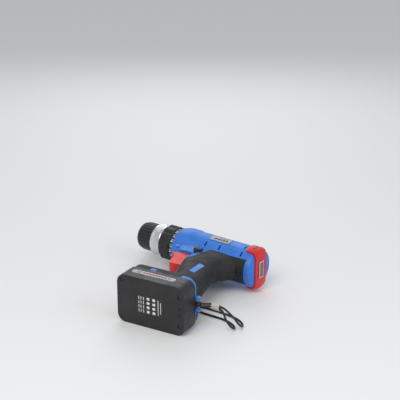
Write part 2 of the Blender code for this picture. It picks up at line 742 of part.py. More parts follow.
# ---------------------------------------------------------------- rear belt and badges
def make_rear():
    """Red belt across the rear face with its tabs on the sides, and the badges."""
    over = barrel("belt_outer", -(GAP + BELT_THICKNESS))
    under = barrel("belt_inner", -GAP)
    slab = block(
        "belt_slab",
        (BELT_REACH + 0.02, BELT_WIDTH, 0.08),
        (BARREL_LENGTH - BELT_REACH + (BELT_REACH + 0.02) / 2, 0, 0),
        round_by=0.004, segments=2, edges="z",
    )
    belt = copy_of(settle(over), "rear_belt", "red_plastic")
    combine(belt, "INTERSECT", slab)
    cut(belt, under)
    face = BARREL_LENGTH + 2 * GAP + BELT_THICKNESS
    block("rear_badge", (0.0010, 0.0090, 0.0230), (face + 0.0005, 0, 0), "bright_metal", 0.0004, 1)
    length, height = BADGE_SIZE
    shell = copy_of(settle(barrel("badge_outer", -(GAP + LABEL_THICKNESS))), "badge_skin", None)
    cut(shell, settle(barrel("badge_inner", -GAP)))
    settle(shell)
    badge = copy_of(shell, "side_badge", "grey_label")
    combine(badge, "INTERSECT", block("badge_cut", (length, height, 0.03), (0.0665, -0.0020, 0.0250)))


# ---------------------------------------------------------------- chuck
def jaw_frame(index):
    """Direction and turn of one jaw: it leans away from the axis towards the rear."""
    return 2 * math.pi * index / JAW_COUNT + math.radians(90)


def jaw_direction(index):
    """The way one jaw slides as it opens."""
    around = jaw_frame(index)
    lean = math.sin(JAW_ANGLE)
    return Vector((math.cos(JAW_ANGLE), lean * math.cos(around), lean * math.sin(around)))


def slanted_bar(name, radius, start, end, index, colour=None, sides=14):
    """A round bar on a jaw's line, between two distances from the point where the jaws meet."""
    direction = jaw_direction(index)
    apex = Vector((SLEEVE_FRONT - 0.0005, 0, 0))
    bm = bmesh.new()
    bmesh.ops.create_cone(bm, cap_ends=True, segments=sides, radius1=radius, radius2=radius,
        depth=end - start)
    turn = direction.to_track_quat("Z", "Y").to_matrix().to_4x4()
    bmesh.ops.transform(bm, matrix=turn, verts=bm.verts)
    return add(name, to_mesh(name, bm), colour, None, apex + direction * (start + end) / 2)


def make_chuck():
    """Sleeve, ring, body, jaws, jaw nut and spindle."""
    body_rear = SLEEVE_FRONT + CHUCK_BODY_LENGTH
    ring_front = SLEEVE_FRONT + SLEEVE_LENGTH + GAP
    ring_rear = SLEEVE_FRONT + SLEEVE_LENGTH + RING_WIDTH
    bore = CHUCK_BODY_RADIUS + 0.0004
    nose = 0.0092
    turned(
        "chuck_sleeve",
        [(SLEEVE_FRONT, 0.0150), (SLEEVE_FRONT + 0.0020, 0.0175), (SLEEVE_FRONT + 0.0080, SLEEVE_RADIUS),
         (SLEEVE_FRONT + SLEEVE_LENGTH, SLEEVE_RADIUS)],
        [(SLEEVE_FRONT, nose + 0.0004), (SLEEVE_FRONT + 0.0028, nose + 0.0004), (SLEEVE_FRONT + 0.0028, bore),
         (SLEEVE_FRONT + SLEEVE_LENGTH, bore)],
        "black_plastic", 32,
    )
    flange = ring_rear - 0.0030
    turned(
        "chuck_ring",
        [(ring_front, RING_RADIUS - 0.0010), (ring_front + 0.0010, RING_RADIUS),
            (ring_rear - 0.0010, RING_RADIUS),
         (ring_rear, RING_RADIUS - 0.0010)],
        [(ring_front, 0.0164), (ring_rear, 0.0164)],
        "bright_metal", 32,
    )
    groove = 0.0109
    nut_front, nut_rear = SLEEVE_FRONT + 0.0145, SLEEVE_FRONT + 0.0215
    body = turned(
        "chuck_body",
        [(SLEEVE_FRONT + 0.0006, nose), (SLEEVE_FRONT + 0.0032, nose),
            (SLEEVE_FRONT + 0.0032, CHUCK_BODY_RADIUS),
         (nut_front - GAP, CHUCK_BODY_RADIUS), (nut_front - GAP, groove), (nut_rear + GAP, groove),
         (nut_rear + GAP, CHUCK_BODY_RADIUS), (flange, CHUCK_BODY_RADIUS), (flange, 0.0160), (ring_rear,
             0.0160),
         (ring_rear, CHUCK_BODY_RADIUS - 0.0005), (body_rear, CHUCK_BODY_RADIUS - 0.0005)],
        [(SLEEVE_FRONT + 0.0006, SPINDLE_RADIUS + GAP), (body_rear, SPINDLE_RADIUS + GAP)],
        "dark_steel", 24,
    )
    turned(
        "jaw_nut",
        [(nut_front, CHUCK_BODY_RADIUS), (nut_rear, CHUCK_BODY_RADIUS)],
        [(nut_front, groove + 0.0004), (nut_rear, groove + 0.0004)],
        "steel", 24,
    )
    for index in range(JAW_COUNT):
        cut(body, slanted_bar(f"jaw_bore_{index + 1}", JAW_RADIUS + 0.0004, -0.004,
            JAW_LENGTH + JAW_TRAVEL + 0.0006, index))
        jaw = slanted_bar(f"jaw_{index + 1}", JAW_RADIUS, 0.0, JAW_LENGTH, index, "steel")
        around = jaw_frame(index)
        apex = Vector((math.cos(around), math.sin(around))) * 0.0005
        fan = [tuple(apex)]
        for swing in (-60, 0, 60):
            fan.append(tuple(apex + Vector((math.cos(around + math.radians(swing)),
                math.sin(around + math.radians(swing)))) * 0.02))
        combine(jaw, "INTERSECT", plate(f"jaw_sector_{index + 1}", fan, SLEEVE_FRONT + 0.0004, 0.0,
            plane="yz"))
        settle(jaw)
        jaw.location = jaw_direction(index) * JAW_OPEN


# ---------------------------------------------------------------- torque collar and clutch
def make_collar():
    """Torque collar, its numbered band, and the clutch parts under it."""
    front = SLEEVE_FRONT + SLEEVE_LENGTH + RING_WIDTH + 0.0004
    rear = front + COLLAR_LENGTH
    bore = COLLAR_BORE
    turned(
        "torque_collar",
        [(front, COLLAR_RADIUS - 0.0020), (front + 0.0014, COLLAR_RADIUS), (rear - 0.0010, COLLAR_RADIUS),
         (rear, BAND_RADIUS), (-2 * GAP, BAND_RADIUS)],
        [(front, CHUCK_BODY_RADIUS + 0.0004), (front + COLLAR_WALL, CHUCK_BODY_RADIUS + 0.0004),
         (front + COLLAR_WALL, bore), (-2 * GAP, bore)],
        "black_plastic", 32,
    )
    start, end, turns, wire = front + COLLAR_WALL + GAP + 0.0012, -0.0026, 4.0, 0.0008
    middle = (GEAR_NOSE_RADIUS + RUN + bore) / 2
    steps = 48
    points = []
    for i in range(steps + 1):
        angle = 2 * math.pi * turns * i / steps
        points.append((start + (end - start) * i / steps, middle * math.cos(angle), middle * math.sin(angle)))
    rod("clutch_spring", points, wire, "steel", resolution=1)


# ---------------------------------------------------------------- gears
def gear_points(teeth, pitch_radius, tip, root, phase, centre=(0, 0)):
    """Outline of a toothed wheel: tip and root are distances beyond and inside the pitch circle."""
    pitch = 2 * math.pi / teeth
    points = []
    for i in range(teeth):
        middle = phase + i * pitch
        for offset, radius in ((-0.28, root), (-0.13, tip), (0.13, tip), (0.28, root)):
            angle = middle + offset * pitch
            points.append((centre[0] + (pitch_radius + radius) * math.cos(angle),
                           centre[1] + (pitch_radius + radius) * math.sin(angle)))
    return points


def circle_points(radius, sides=16, centre=(0, 0)):
    """A round outline."""
    return [
        (centre[0] + radius * math.cos(2 * math.pi * i / sides),
            centre[1] + radius * math.sin(2 * math.pi * i / sides))
        for i in range(sides)
    ]


def planet_places():
    """Angle and centre of each planet."""
    for index in range(PLANET_COUNT):
        angle = 2 * math.pi * index / PLANET_COUNT
        yield index + 1, angle, (CENTRE_DISTANCE * math.cos(angle), CENTRE_DISTANCE * math.sin(angle))


def make_stage(stage, low):
    """The planets of one stage, in mesh at rest."""
    high = low + GEAR_WIDTH
    half_pitch = math.pi / PLANET_TEETH
    for number, angle, centre in planet_places():
        wheel = gear_points(PLANET_TEETH, PLANET_PITCH, TIP, ROOT_DEPTH, angle + half_pitch)
        hole = circle_points(PLANET_PIN_RADIUS + 0.0003, 10)
        plate(f"planet_{stage}_{number}", wheel, -GEAR_WIDTH / 2, GEAR_WIDTH / 2, "gear_grey", plane="yz",
              holes=[hole], location=((low + high) / 2, *centre))


def make_carrier(name, disc_front, disc_rear, pin_end, sun=None):
    """A disc with a pin for each planet, and for the first stage the second stage's sun gear."""
    disc = plate(name, circle_points(CENTRE_DISTANCE + 0.0034, 24), disc_front, disc_rear, "steel",
        plane="yz")
    for number, _, centre in planet_places():
        middle = (disc_rear - 0.0006 + pin_end) / 2
        length = pin_end - disc_rear + 0.0006
        join(disc, cylinder(f"{name}_pin_{number}", PLANET_PIN_RADIUS, length, (middle, *centre), "x",
            sides=10))
    if sun is not None:
        teeth = gear_points(SUN_TEETH, SUN_PITCH, TIP, ROOT_DEPTH, 0.0)
        join(disc, plate(name + "_sun", teeth, sun, disc_front + 0.0006, plane="yz"))
    return disc


def make_gearbox():
    """Gear case, two planetary stages and the front bearing."""
    inner = GEARCASE_RADIUS - GEARCASE_WALL
    nose_front = SLEEVE_FRONT + CHUCK_BODY_LENGTH + 0.0006
    shoulder = NOSE_WALL + GAP
    seat = 0.0087
    turned(
        "gear_case",
        [(nose_front, GEAR_NOSE_RADIUS), (shoulder, GEAR_NOSE_RADIUS), (shoulder, GEARCASE_RADIUS),
         (GEARCASE_END, GEARCASE_RADIUS)],
        [(nose_front, SPINDLE_RADIUS + RUN), (nose_front + 0.0012, SPINDLE_RADIUS + RUN),
            (nose_front + 0.0012, seat),
         (shoulder + 0.0020, seat), (shoulder + 0.0020, inner), (GEARCASE_END, inner)],
        "gear_grey", 32,
    )
    bearing_front, bearing_rear = nose_front + 0.0016, shoulder
    turned("spindle_bearing", [(bearing_front, seat - GAP), (bearing_rear, seat - GAP)],
           [(bearing_front, SPINDLE_RADIUS + GAP), (bearing_rear, SPINDLE_RADIUS + GAP)], "steel", 20)
    stage_two = STAGE_ONE_X - STAGE_PITCH
    inner_teeth = gear_points(RING_TEETH, RING_PITCH, -TIP, -ROOT_DEPTH, 0.0)
    outer = circle_points(GEARCASE_RADIUS - GEARCASE_WALL - GAP, 32)
    plate("ring_gear", outer, stage_two - 0.0005, STAGE_ONE_X + GEAR_WIDTH + 0.0005, "gear_grey", plane="yz",
          holes=[inner_teeth])
    make_stage(1, STAGE_ONE_X)
    make_stage(2, stage_two)
    make_carrier("carrier_1", STAGE_ONE_X - 0.0042, STAGE_ONE_X - 0.0008,
        STAGE_ONE_X + GEAR_WIDTH - 0.0005, stage_two + 0.0002)
    spindle = make_carrier("spindle", SPINDLE_REAR, stage_two - 0.0008, stage_two + GEAR_WIDTH - 0.0005)
    thread_front = SLEEVE_FRONT + CHUCK_BODY_LENGTH - THREAD_LENGTH - 0.0030
    join(spindle, cylinder("spindle_bar", SPINDLE_RADIUS, SPINDLE_REAR + 0.0010 - thread_front,
                           ((SPINDLE_REAR + 0.0010 + thread_front) / 2, 0, 0), "x", sides=20))


# ---------------------------------------------------------------- motor
def make_motor():
    """Motor can, magnets, rotor, pinion, fan and brush cap."""
    rear = MOTOR_FRONT + MOTOR_LENGTH
    wall = 0.0010
    turned(
        "motor_can",
        [(MOTOR_FRONT, MOTOR_RADIUS - 0.0010), (MOTOR_FRONT + 0.0010, MOTOR_RADIUS), (rear, MOTOR_RADIUS)],
        [(MOTOR_FRONT, 0.0030), (MOTOR_FRONT + wall, 0.0030), (MOTOR_FRONT + wall, MOTOR_RADIUS - wall),
         (rear - END_CAP, MOTOR_RADIUS - wall), (rear - END_CAP, SHAFT_RADIUS + RUN), (rear,
             SHAFT_RADIUS + RUN)],
        "steel", 28,
    )
    turned(
        "magnet_ring",
        [(MOTOR_FRONT + 0.0060, MOTOR_RADIUS - wall - GAP), (rear - 0.0100, MOTOR_RADIUS - wall - GAP)],
        [(MOTOR_FRONT + 0.0060, ROTOR_RADIUS + 0.0008), (rear - 0.0100, ROTOR_RADIUS + 0.0008)],
        "dark_steel", 24,
    )
    shaft_front, shaft_rear = STAGE_ONE_X - 0.0005, rear + 0.0075
    slots = gear_points(5, ROTOR_RADIUS - 0.0020, 0.0020, -0.0030, 0.0)
    rotor = plate("rotor", slots, MOTOR_FRONT + 0.0080, rear - 0.0130, "copper", plane="yz")
    shaft_middle = (shaft_front + shaft_rear) / 2
    join(
        rotor,
        cylinder("commutator", 0.0042, 0.0100, (rear - 0.0090, 0, 0), "x", sides=14),
        cylinder("motor_shaft", SHAFT_RADIUS, shaft_rear - shaft_front, (shaft_middle, 0, 0), "x", sides=10),
        plate("pinion", gear_points(SUN_TEETH, SUN_PITCH, TIP, ROOT_DEPTH, 0.0), shaft_front,
              STAGE_ONE_X + GEAR_WIDTH + 0.0005, plane="yz"),
    )
    blades = gear_points(7, 0.0110, 0.0025, -0.0060, 0.0)
    fan = plate("cooling_fan", blades, rear + 0.0012, rear + 0.0065, "black_plastic", plane="yz",
                holes=[circle_points(SHAFT_RADIUS + GAP, 10)])
    fan.data.shade_flat()


# ---------------------------------------------------------------- foot band, pin and cord
def make_foot_trim():
    """Blue band round the foot's rear with two ears, the pin between them and the wrist cord."""
    low, high = PACK_HEIGHT + GAP, PACK_HEIGHT + 0.0078 - OVER / 2
    rear = PACK_LENGTH / 2 - FOOT_SETBACK * 0.5
    half = PACK_WIDTH / 2 - 0.0008
    proud = 0.0006
    outer = rounded_outline(-0.02, rear + proud, -half - proud, half + proud, PACK_CORNER + proud)
    inner = rounded_outline(-0.03, rear - GRIP_SKIN, -half + GRIP_SKIN, half - GRIP_SKIN,
        PACK_CORNER - GRIP_SKIN)
    band = plate("foot_band", outer, low, high, "blue_plastic", FOOT_FRAME, "xz")
    cut(band, plate("band_hollow", inner, low - OVER, high + OVER, None, FOOT_FRAME, "xz"))
    cut(band, block("band_front", (0.08, 0.05, 0.1), (BAND_FRONT + GAP - 0.04, low, 0), parent=FOOT_FRAME))
    pin_x, pin_y = rear + EAR_REACH * 0.5, (low + high) / 2 + 0.0004
    radius = (high - low) / 2 + 0.0004
    for side in (1, -1):
        centre = side * EAR_SPACING / 2
        ear = [(rear - 0.0008, low), (pin_x, low)]
        ear += [(pin_x + radius * math.sin(a),
            pin_y - radius * math.cos(a)) for a in (math.radians(30 * i) for i in range(7))]
        ear += [(rear - 0.0008, high)]
        lug = plate(f"ear_{side}", ear, centre - EAR_THICKNESS / 2, centre + EAR_THICKNESS / 2, None,
            FOOT_FRAME)
        join(band, lug)
    cut(band, cylinder("pin_hole", PIN_RADIUS + GAP, EAR_SPACING + 0.0024, (pin_x, pin_y, 0), "z",
        sides=12, parent=FOOT_FRAME))
    cylinder("strap_pin", PIN_RADIUS, EAR_SPACING + 0.0018, (pin_x, pin_y, 0), "z", "zinc", 12, FOOT_FRAME)
    knot = block("cord_knot", KNOT_SIZE, (pin_x, pin_y, 0), "black_cord", 0.0022, 2, FOOT_FRAME)
    cut(knot, cylinder("knot_hole", PIN_RADIUS + GAP, 0.02, (pin_x, pin_y, 0), "z", sides=12,
        parent=FOOT_FRAME))
    turn = Matrix.Rotation(PACK_TILT, 3, "Z")
    anchor = Vector((PACK_CENTRE_X, PACK_BASE_Y, 0)) + turn @ Vector((pin_x, pin_y, 0))
    route = [anchor + Vector(point) for point in CORD_ROUTE]
    rod("wrist_cord", smooth_route(route, CORD_SPACING), CORD_RADIUS, "black_cord", resolution=2)
    unit = circle_points(1.0, 16)
    tall, wide = CORD_RADIUS + 0.0007, CORD_STRAND + CORD_RADIUS + 0.0005
    hollow = [(y * tall, z * wide) for y, z in unit]
    outside = [(y * (tall + CRIMP_WALL), z * (wide + CRIMP_WALL)) for y, z in unit]
    middle = (CRIMP_START + CRIMP_END) / 2
    plate("cord_crimp", outside, CRIMP_START - middle, CRIMP_END - middle, "pale_crimp", plane="yz",
          holes=[hollow], location=anchor + Vector((middle, CRIMP_SIDE, 0)))


# ---------------------------------------------------------------- battery pack
def pack_outline(inset):
    """The pack's rounded footprint, smaller by inset."""
    half_length, half_width = PACK_LENGTH / 2 - inset, PACK_WIDTH / 2 - inset
    return rounded_outline(-half_length, half_length, -half_width, half_width, PACK_CORNER - inset)


def make_pack():
    """Tray, shell with its tongue, labels, screws, release button, cells and contacts."""
    top = PACK_HEIGHT - GAP
    tray = plate("pack_tray", pack_outline(0), 0, TRAY_HEIGHT, "black_plastic", FOOT_FRAME, "xz")
    cut(tray, plate("tray_hollow", pack_outline(PACK_WALL), PACK_WALL, TRAY_HEIGHT + OVER, None,
        FOOT_FRAME, "xz"))
    shell = plate("pack_shell", pack_outline(0), TRAY_HEIGHT + GAP, top, "black_plastic", FOOT_FRAME, "xz")
    cut(shell, plate("shell_hollow", pack_outline(PACK_WALL), TRAY_HEIGHT - OVER, top - PACK_WALL, None,
        FOOT_FRAME, "xz"))
    middle = (TONGUE_FRONT + TONGUE_REAR) / 2
    rail_low, rail_high = PACK_HEIGHT + 0.0034, PACK_HEIGHT + TONGUE_HEIGHT
    neck_low = top - 0.0010
    join(shell, block("tongue_neck", (TONGUE_LENGTH, rail_high - neck_low - 0.0002, TONGUE_NECK),
        (middle, (rail_high + neck_low) / 2, 0), parent=FOOT_FRAME))
    join(shell, block("tongue_rail", (TONGUE_LENGTH, rail_high - rail_low, TONGUE_WIDTH),
        (middle, (rail_high + rail_low) / 2, 0), parent=FOOT_FRAME))
    blade_front, blade_low, blade_high = TONGUE_REAR - 0.0120, PACK_HEIGHT + 0.0030, PACK_HEIGHT + 0.0055
    block_rear = 0.0380
    terminal = block("terminal_block", (block_rear - TONGUE_REAR - 0.0012, 0.0030, 0.0280),
                     ((block_rear + TONGUE_REAR + 0.0012) / 2, PACK_HEIGHT + 0.0046,
                         0), "black_plastic", parent=FOOT_FRAME)
    for index, z in enumerate((-0.0080, 0.0080), 1):
        slot = block(f"blade_slot_{index}", (0.0135, 0.0040, 0.0028),
            (TONGUE_REAR - 0.0060, blade_low + 0.0016, z), parent=FOOT_FRAME)
        cut(shell, slot)
        cut(terminal, block(f"blade_seat_{index}", (0.0060, 0.0030, 0.0014),
            (TONGUE_REAR + 0.0030, (blade_low + blade_high) / 2, z), parent=FOOT_FRAME))
        blade_size = (0.0160, blade_high - blade_low - 0.0005, 0.0008)
        blade_place = (blade_front + 0.0085, (blade_low + blade_high) / 2, z)
        block(f"terminal_blade_{index}", blade_size, blade_place, "copper", parent=FOOT_FRAME)
    for x, z in PACK_SCREWS:
        cut(tray, cylinder("pack_screw_hole", PACK_SCREW_RADIUS + 0.0004, 0.0018, (x, 0, z), "y", sides=12,
            parent=FOOT_FRAME))
    for z in (-0.0045, 0.0045):
        cut(tray, cylinder("pack_dimple", 0.0020, 0.0012, (0.0410, 0, z), "y", sides=12, parent=FOOT_FRAME))
    for number, (x, z) in enumerate(PACK_SCREWS, 1):
        cylinder(f"pack_screw_{number}", PACK_SCREW_RADIUS, 0.0005, (x, 0.00035, z), "y", "zinc", 12,
            FOOT_FRAME)
    make_pack_labels(tray, shell)
    make_release(shell)
    make_cells(top)


def make_pack_labels(tray, shell):
    """Labels set flush in shallow pockets."""
    length, height = SIDE_LABEL_SIZE
    deep = LABEL_THICKNESS + GAP
    face = PACK_WIDTH / 2
    pocket_size = (length + 2 * GAP, height + 2 * GAP, 2 * deep)
    cut(shell, block("label_pocket", pocket_size, (*LABEL_CENTRE, face), parent=FOOT_FRAME))
    centre = (*LABEL_CENTRE, face - LABEL_THICKNESS / 2)
    block("pack_label", (length, height, LABEL_THICKNESS), centre, "grey_label", 0.0025, 3, FOOT_FRAME, "z")
    length, width = STICKER_SIZE
    place = (-0.0010, 0, -0.0020)
    cut(tray, block("sticker_pocket", (length + 2 * GAP, 2 * deep, width + 2 * GAP), place,
        parent=FOOT_FRAME))
    block("base_sticker", (length, LABEL_THICKNESS, width), (place[0], LABEL_THICKNESS / 2, place[2]),
        "sticker", parent=FOOT_FRAME)


def make_release(shell):
    """Red release button in the pack's front end, and the grey label below it."""
    deep, height, wide = BUTTON_SIZE
    front = -PACK_LENGTH / 2
    centre = (front + deep / 2 - 0.0004, BUTTON_HEIGHT, 0)
    cut(shell, block("button_window", (0.03, height + 2 * RUN, wide + 2 * RUN), (front, BUTTON_HEIGHT, 0),
        parent=FOOT_FRAME))
    block("release_button", (deep, height, wide), centre, "red_plastic", 0.0010, 1, FOOT_FRAME)


def make_cells(top):
    """Three cells lengthwise, their holders, end straps and the protection board."""
    middle_y = PACK_WALL + CELL_RADIUS + 0.0012
    centre_x = 0.0055
    straps = [
        block("strap", (0.0008, 0.0080, CELL_PITCH * 2 + 0.0080),
              (centre_x + side * (CELL_LENGTH / 2 + 0.0002), middle_y, 0), parent=FOOT_FRAME)
        for side in (-1, 1)
    ]
    bars = [
        cylinder("cell", CELL_RADIUS, CELL_LENGTH, (centre_x, middle_y, index * CELL_PITCH), "x", None, 16,
            FOOT_FRAME)
        for index in (-1, 1)
    ]
    cells = cylinder("cells", CELL_RADIUS, CELL_LENGTH, (centre_x, middle_y, 0), "x", "cell_wrap", 16,
        FOOT_FRAME)
    join(cells, *bars, *straps)
    holes = [circle_points(CELL_RADIUS + 0.00035, 20,
        (middle_y, (number - 2) * CELL_PITCH)) for number in (1, 2, 3)]
    low, high, half = PACK_WALL + GAP, middle_y - 0.0020, PACK_WIDTH / 2 - PACK_WALL - GAP
    profile = [(low, -half), (high, -half), (high, half), (low, half)]
    seats = [[(a, b) for a, b in hole] for hole in holes]
    holder = plate("cell_holder", profile, 0.0, 0.0140, "black_plastic", FOOT_FRAME, "yz")
    for index, seat in enumerate(seats):
        cut(holder, plate(f"seat_{index}", seat, -OVER, 0.0140 + OVER, None, FOOT_FRAME, "yz"))
    board_low = middle_y + CELL_RADIUS + GAP
    block("pack_board", (0.0420, 0.0012, 0.0240), (centre_x, board_low + 0.0008, 0), "board_green",
        parent=FOOT_FRAME)


def make_leads():
    """The two leads from the switch up to the motor."""
    path = ((0.0740, -0.0385), (0.0820, -0.0310), (0.0890, -0.0240), (0.0960, -0.0200), (0.1030, -0.0197))
    for name, colour, z in (("red_lead", "red_wire", 0.0040), ("black_lead", "black_wire", -0.0040)):
        rod(name, smooth_route([(x, y, z) for x, y in path], 0.006), LEAD_RADIUS, colour, resolution=0)


# ---------------------------------------------------------------- assembly
def stand_on_base():
    """Move the drill so that the middle of its base lies at the world origin."""
    bpy.context.view_layer.update()
    graph = bpy.context.evaluated_depsgraph_get()
    low = Vector((1e9, 1e9, 1e9))
    high = -low
    for obj in PARTS.objects:
        if obj.type == "EMPTY" or obj.name in ("wrist_cord", "cord_crimp"):
            continue
        evaluated = obj.evaluated_get(graph)
        mesh = evaluated.to_mesh()
        for vertex in mesh.vertices:
            point = evaluated.matrix_world @ vertex.co
            for axis in range(3):
                low[axis] = min(low[axis], point[axis])
                high[axis] = max(high[axis], point[axis])
        evaluated.to_mesh_clear()
    ROOT.location = (-(low.x + high.x) / 2, -(low.y + high.y) / 2, -low.z)


def main():
    """Build the whole drill."""
    global PARTS, CUTTERS, ROOT, FOOT_FRAME
    clear_scene()
    PARTS = new_collection(NAME)
    CUTTERS = new_collection("cutters", hidden=True)
    make_finishes()
    ROOT = empty("drill_frame", (0, 0, 0))
    FOOT_FRAME = empty("foot_frame", (PACK_CENTRE_X, PACK_BASE_Y, 0), ROOT, PACK_TILT)
    make_housing()
    make_rear()
    make_trigger()
    make_slider()
    make_selector()
    make_chuck()
    make_collar()
    make_gearbox()
    make_motor()
    make_foot_trim()
    make_pack()
    make_leads()
    stand_on_base()


main()
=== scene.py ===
"""Cordless drill on its side: finishes, detailed pieces, studio light and camera over the fixed frame."""

import json
import logging
import math
from collections.abc import Callable
from dataclasses import dataclass, field
from enum import Enum

import bmesh
import bpy
from mathutils import Matrix, Vector


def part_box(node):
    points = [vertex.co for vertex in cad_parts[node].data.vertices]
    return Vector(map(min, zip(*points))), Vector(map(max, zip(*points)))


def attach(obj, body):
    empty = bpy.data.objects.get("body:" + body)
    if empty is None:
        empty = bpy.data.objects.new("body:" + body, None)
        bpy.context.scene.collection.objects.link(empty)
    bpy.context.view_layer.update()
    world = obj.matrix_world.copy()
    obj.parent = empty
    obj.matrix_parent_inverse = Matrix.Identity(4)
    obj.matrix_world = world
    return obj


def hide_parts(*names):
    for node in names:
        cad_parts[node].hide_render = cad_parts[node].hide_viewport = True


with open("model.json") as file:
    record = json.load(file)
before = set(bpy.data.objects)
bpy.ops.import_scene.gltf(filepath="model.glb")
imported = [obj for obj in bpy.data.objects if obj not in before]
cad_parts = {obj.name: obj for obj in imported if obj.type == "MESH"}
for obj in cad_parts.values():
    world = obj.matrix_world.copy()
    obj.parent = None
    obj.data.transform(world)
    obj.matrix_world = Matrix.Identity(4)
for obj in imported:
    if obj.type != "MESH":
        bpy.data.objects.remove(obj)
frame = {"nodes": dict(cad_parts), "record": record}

LOG = logging.getLogger("drill")
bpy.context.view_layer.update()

# Shared places, in metres, in the frame's own axes.
NOSE = Vector((-0.03135, 0.07087, 0.0315))
PRINT_THICKNESS = 0.00012
SAME_PLACE = 0.000001
ON_EACH_OTHER = 0.000002
SHARP_EDGE = 32.0


class Kind(Enum):
    """How a finish's surface is made."""

    MOULDED = "moulded"
    RUBBER = "rubber"
    BRUSHED = "brushed"


@dataclass(frozen=True)
class Finish:
    """One material's look.

    Args:
        kind: The pattern that the surface has.
        base: Main colour, linear.
        shade: The colour that it varies towards.
        rough: Lowest and highest roughness.
        grain: Grains to the metre.
        bump: Height of the grain in metres.
        metallic: 1 for bare metal.
        coat: Weight of a clear coat.
    """

    kind: Kind
    base: tuple
    shade: tuple
    rough: tuple
    grain: float = 1500.0
    bump: float = 0.00002
    metallic: float = 0.0
    coat: float = 0.0


FINISHES = {
    "blue_plastic": Finish(
        Kind.MOULDED, (0.030, 0.195, 0.680), (0.022, 0.150, 0.560), (0.34, 0.50), grain=2200, bump=0.000020,
    ),
    "grip_rubber": Finish(
        Kind.RUBBER, (0.011, 0.011, 0.012), (0.021, 0.021, 0.023), (0.55, 0.78), grain=1700, bump=0.000050,
    ),
    "black_plastic": Finish(
        Kind.MOULDED, (0.009, 0.009, 0.010), (0.016, 0.016, 0.018), (0.36, 0.54), grain=1900, bump=0.000026,
    ),
    "red_plastic": Finish(
        Kind.MOULDED, (0.720, 0.014, 0.012), (0.560, 0.010, 0.010), (0.34, 0.50), grain=2000, bump=0.000016,
    ),
    "gear_grey": Finish(
        Kind.MOULDED, (0.180, 0.180, 0.170), (0.110, 0.110, 0.105), (0.38, 0.55), grain=1500, bump=0.000020,
    ),
    "board_green": Finish(
        Kind.MOULDED, (0.010, 0.120, 0.035), (0.006, 0.070, 0.020), (0.30, 0.45), grain=900, bump=0.000015,
    ),
    "cell_wrap": Finish(
        Kind.MOULDED, (0.030, 0.240, 0.150), (0.020, 0.180, 0.110), (0.28, 0.40), grain=700, bump=0.000010,
    ),
    "pale_crimp": Finish(
        Kind.MOULDED, (0.560, 0.540, 0.480), (0.430, 0.410, 0.360), (0.40, 0.56), grain=1500, bump=0.000024,
    ),
    "black_cord": Finish(
        Kind.RUBBER, (0.012, 0.012, 0.013), (0.030, 0.030, 0.032), (0.58, 0.82), grain=2600, bump=0.000070,
    ),
    "red_wire": Finish(
        Kind.MOULDED, (0.480, 0.010, 0.010), (0.360, 0.008, 0.008), (0.36, 0.50), grain=1800, bump=0.000012,
    ),
    "black_wire": Finish(
        Kind.MOULDED, (0.012, 0.012, 0.013), (0.022, 0.022, 0.024), (0.36, 0.50), grain=1800, bump=0.000012,
    ),
    "bright_metal": Finish(
        Kind.BRUSHED, (0.780, 0.780, 0.790), (0.560, 0.560, 0.580), (0.20, 0.34), grain=2600, bump=0.000010,
        metallic=1.0,
    ),
    "steel": Finish(
        Kind.BRUSHED, (0.520, 0.520, 0.530), (0.360, 0.360, 0.370), (0.26, 0.44), grain=2200, bump=0.000012,
        metallic=1.0,
    ),
    "dark_steel": Finish(
        Kind.BRUSHED, (0.110, 0.110, 0.118), (0.060, 0.060, 0.066), (0.30, 0.48), grain=2000, bump=0.000014,
        metallic=1.0,
    ),
    "copper": Finish(
        Kind.BRUSHED, (0.640, 0.260, 0.130), (0.450, 0.170, 0.080), (0.24, 0.40), grain=2200, bump=0.000012,
        metallic=1.0,
    ),
    "zinc": Finish(
        Kind.BRUSHED, (0.480, 0.470, 0.440), (0.320, 0.310, 0.290), (0.32, 0.50), grain=1600, bump=0.000016,
        metallic=1.0,
    ),
    "grey_label": Finish(
        Kind.BRUSHED, (0.300, 0.310, 0.330), (0.230, 0.240, 0.260), (0.30, 0.46), grain=1800, bump=0.000006,
        metallic=0.35, coat=0.2,
    ),
    "sticker": Finish(
        Kind.MOULDED, (0.004, 0.004, 0.005), (0.008, 0.008, 0.009), (0.14, 0.24), grain=1100, bump=0.000008,
        metallic=0.0, coat=0.3,
    ),
    "red_print": Finish(
        Kind.MOULDED, (0.420, 0.012, 0.014), (0.300, 0.008, 0.010), (0.40, 0.55), grain=1500, bump=0.000006,
    ),
    "dark_print": Finish(
        Kind.MOULDED, (0.030, 0.032, 0.038), (0.050, 0.052, 0.058), (0.40, 0.55), grain=1500, bump=0.000006,
    ),
    "white_print": Finish(
        Kind.MOULDED, (0.800, 0.800, 0.790), (0.640, 0.640, 0.630), (0.40, 0.55), grain=1500, bump=0.000008,
    ),
    # Painted shade: a flat near-black for the shadow inside the belt tab's slits.
    "painted_recess_shade": Finish(
        Kind.MOULDED, (0.010, 0.010, 0.011), (0.018, 0.018, 0.020), (0.50, 0.65), grain=1500, bump=0.000010,
    ),
}


